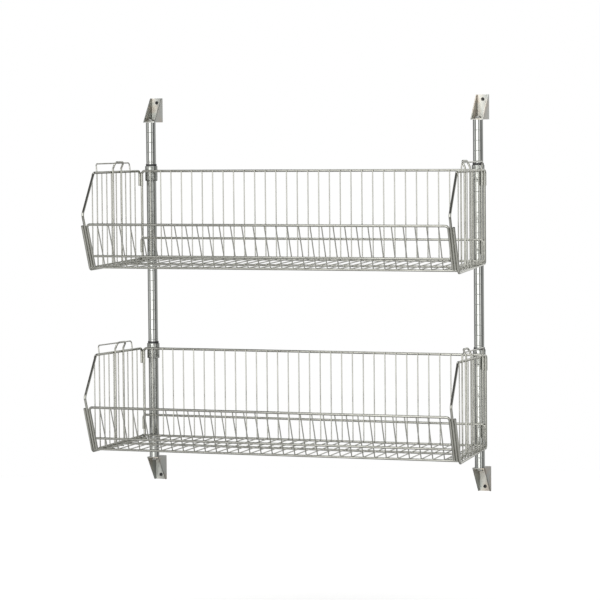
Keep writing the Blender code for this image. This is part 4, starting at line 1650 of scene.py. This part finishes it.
    def weld_beads(self) -> None:
        """Build the beads of every weld noted so far, as one piece."""
        centres, axes = (np.vstack(parts) for parts in zip(*self.welds))
        coat = self.wall.wardrobe.wire
        piece = shaped(f"{self.level.label}_weld_beads", beads(centres, axes), coat.material)
        publish(piece, self.body, coat.slot)


# ---------------------------------------------------------------- studio


def placed(name: str, data: bpy.types.ID, place: Triple, axes: np.ndarray) -> bpy.types.Object:
    """Return a new lamp or camera at a place, looking back along the last of its axes.

    Args:
        name: name of the object.
        data: the lamp or camera.
        place: where it stands.
        axes: its own X, Y and Z directions, as columns.

    Returns:
        The object, linked to the scene.
    """
    made = bpy.data.objects.new(name, data)
    bpy.context.scene.collection.objects.link(made)
    made.matrix_world = Matrix.Translation(place) @ Matrix(axes.tolist()).to_4x4()
    return made


@dataclass(frozen=True)
class SoftBox:
    """A rectangular lamp that faces the origin: its place, its sizes and its watts."""

    name: str
    place: Triple
    size: Pair
    power: float

    def hang(self) -> None:
        """Hang the lamp."""
        lamp = bpy.data.lights.new(self.name, "AREA")
        lamp.shape, lamp.energy = "RECTANGLE", self.power
        lamp.size, lamp.size_y = self.size
        away = unit(np.array(self.place))
        side = unit(np.cross(UP, away))
        placed(self.name, lamp, self.place, np.stack([side, np.cross(away, side), away], axis=1))


@dataclass(frozen=True)
class Studio:
    """White floor, soft lamps, a studio's walls for the metal, and the photograph's camera."""

    floor_height: float = -0.85
    floor_hub: float = 0.5
    floor_radius: float = 3.6
    floor_rings: int = 6
    floor_sides: int = 64
    mirrored_white: float = 0.12
    wall_tint: Triple = (1.0, 1.0, 0.985)
    eye: Triple = (2.9961, -7.5063, 0.4294)
    yaw: float = 22.093
    pitch: float = 3.197
    roll: float = -0.517
    focal_pixels: float = 3183.3
    frame_pixels: float = 600.0
    sensor: float = 36.0
    sight: float = 60.0
    boxes: tuple[SoftBox, ...] = (
        SoftBox("left_box", (-3.4, -4.6, 3.6), (2.4, 1.8), 25.0),
        SoftBox("right_box", (4.2, -3.6, 3.2), (2.0, 1.8), 17.0),
        SoftBox("top_box", (-0.05, -0.9, 4.2), (3.4, 1.6), 40.0))
    walls: Steps = (
        (-180.0, 1.00), (-168.0, 1.00), (-162.0, 0.55), (-142.0, 0.30), (-84.0, 0.30),
        (-70.0, 1.06), (-44.0, 0.66), (-37.0, 0.18), (-24.5, 0.18), (-21.0, 2.93),
        (20.0, 2.93), (27.0, 0.20), (42.0, 0.15), (48.0, 1.40), (64.0, 1.40),
        (72.0, 0.09), (98.0, 0.09), (104.0, 0.43), (136.0, 0.43), (150.0, 0.70),
        (168.0, 0.70), (173.0, 1.00), (180.0, 1.00))
    ceiling: Steps = ((0.0, 0.0), (0.97, 0.0), (0.985, 0.77), (1.0, 0.77))
    above: Steps = ((0.0, 0.0), (0.70, 0.0), (0.80, 1.0), (1.0, 1.0))
    under: Steps = ((0.0, 0.02), (0.36, 0.02), (0.42, 1.0), (1.0, 1.0))

    def build(self) -> None:
        """Build the floor, the lamps, the world and the camera."""
        self.floor()
        for box in self.boxes:
            box.hang()
        self.world()
        self.camera()

    def floor(self) -> None:
        """Build the floor, a disc of rings whose radii grow in equal ratios."""
        radii = np.geomspace(self.floor_hub, self.floor_radius, self.floor_rings)
        ring = circle(self.floor_sides)
        points = stacked(np.column_stack([radii, np.full(len(radii), self.floor_height)]), ring)
        faces = grid_faces(len(radii), len(ring), True)[:, ::-1].tolist()
        faces.append(list(range(len(ring))))
        surface = Surface(points, faces, flat_uv(points, faces))
        shaped("studio_floor", surface, StudioFloor().material())

    def world(self) -> None:
        """Set a world that is white to the eye and a studio's walls to everything else.

        Metal mirrors the walls with a share of the white background laid over them.
        The walls are bands round the horizon, by the bearing from straight before the
        unit, positive to its right: a wide bright panel ahead, a dark gap and a paler
        panel to the right of it, grey to the left and pale corners behind. A plain
        ceiling takes over from them with height, and under the floor there is next to none.
        """
        world = bpy.data.worlds.new("studio_air")
        world.use_nodes = True
        bpy.context.scene.world = world
        world.node_tree.nodes.clear()
        air = Bench(world.node_tree)
        place = air.node("ShaderNodeTexCoord").outputs["Generated"]
        axes = air.node("ShaderNodeSeparateXYZ", Vector=place).outputs
        bearing = air.maths("ARCTAN2", axes[0], air.maths("MULTIPLY", axes[1], -1.0))
        around = air.curve(air.maths("MULTIPLY_ADD", bearing, 1.0 / TURN, 0.5),
                           tuple((0.5 + angle / 360.0, level) for angle, level in self.walls))
        height = air.maths("MULTIPLY_ADD", axes[2], 0.5, 0.5)
        over, part = air.curve(height, self.ceiling), air.curve(height, self.above)
        mixed = air.maths("MULTIPLY_ADD", part, air.maths("SUBTRACT", over, around), around)
        level = air.maths("MULTIPLY", mixed, air.curve(height, self.under))
        walls = air.node("ShaderNodeBackground", Color=(*self.wall_tint, 1.0), Strength=level)
        white = air.node("ShaderNodeBackground", Color=(1.0, 1.0, 1.0, 1.0), Strength=1.0)
        eye, mirrored = air.rays()
        whiteness = air.maths("MULTIPLY_ADD", mirrored, self.mirrored_white, eye)
        shown = air.node("ShaderNodeMixShader")
        for socket, value in zip(shown.inputs, (whiteness, walls.outputs[0], white.outputs[0])):
            air.feed(socket, value)
        air.node("ShaderNodeOutputWorld", Surface=shown.outputs[0])

    def camera(self) -> None:
        """Set the camera: turned to the left by the yaw, tipped down by the pitch.

        Its axes are the level right and up of the yaw and pitch, turned by the roll about
        the line of sight, and its lens is the focal length in pixels as a share of the
        frame, times the sensor.
        """
        yaw, pitch, roll = (math.radians(angle) for angle in (self.yaw, self.pitch, self.roll))
        sight = np.array([-math.sin(yaw) * math.cos(pitch), math.cos(yaw) * math.cos(pitch),
                          -math.sin(pitch)])
        right = np.array([math.cos(yaw), math.sin(yaw), 0.0])
        rise = np.cross(right, sight)
        axes = np.stack([math.cos(roll) * right + math.sin(roll) * rise,
                         math.cos(roll) * rise - math.sin(roll) * right, -sight], axis=1)
        lens = bpy.data.cameras.new("photograph")
        lens.sensor_width, lens.clip_end = self.sensor, self.sight
        lens.lens = self.focal_pixels / self.frame_pixels * self.sensor
        bpy.context.scene.camera = placed("photograph", lens, self.eye, axes)


def main() -> None:
    """Build the wall frame, the baskets and the studio, and set the view transform."""
    logging.basicConfig(level=logging.INFO, format="%(name)s %(message)s")
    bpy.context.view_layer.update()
    wall = WallFrame(Wardrobe())
    wall.build()
    for level in Level:
        Basket(level=level, wall=wall).build()
    Studio().build()
    bpy.context.scene.view_settings.view_transform = "Standard"


if __name__ == "__main__":
    main()
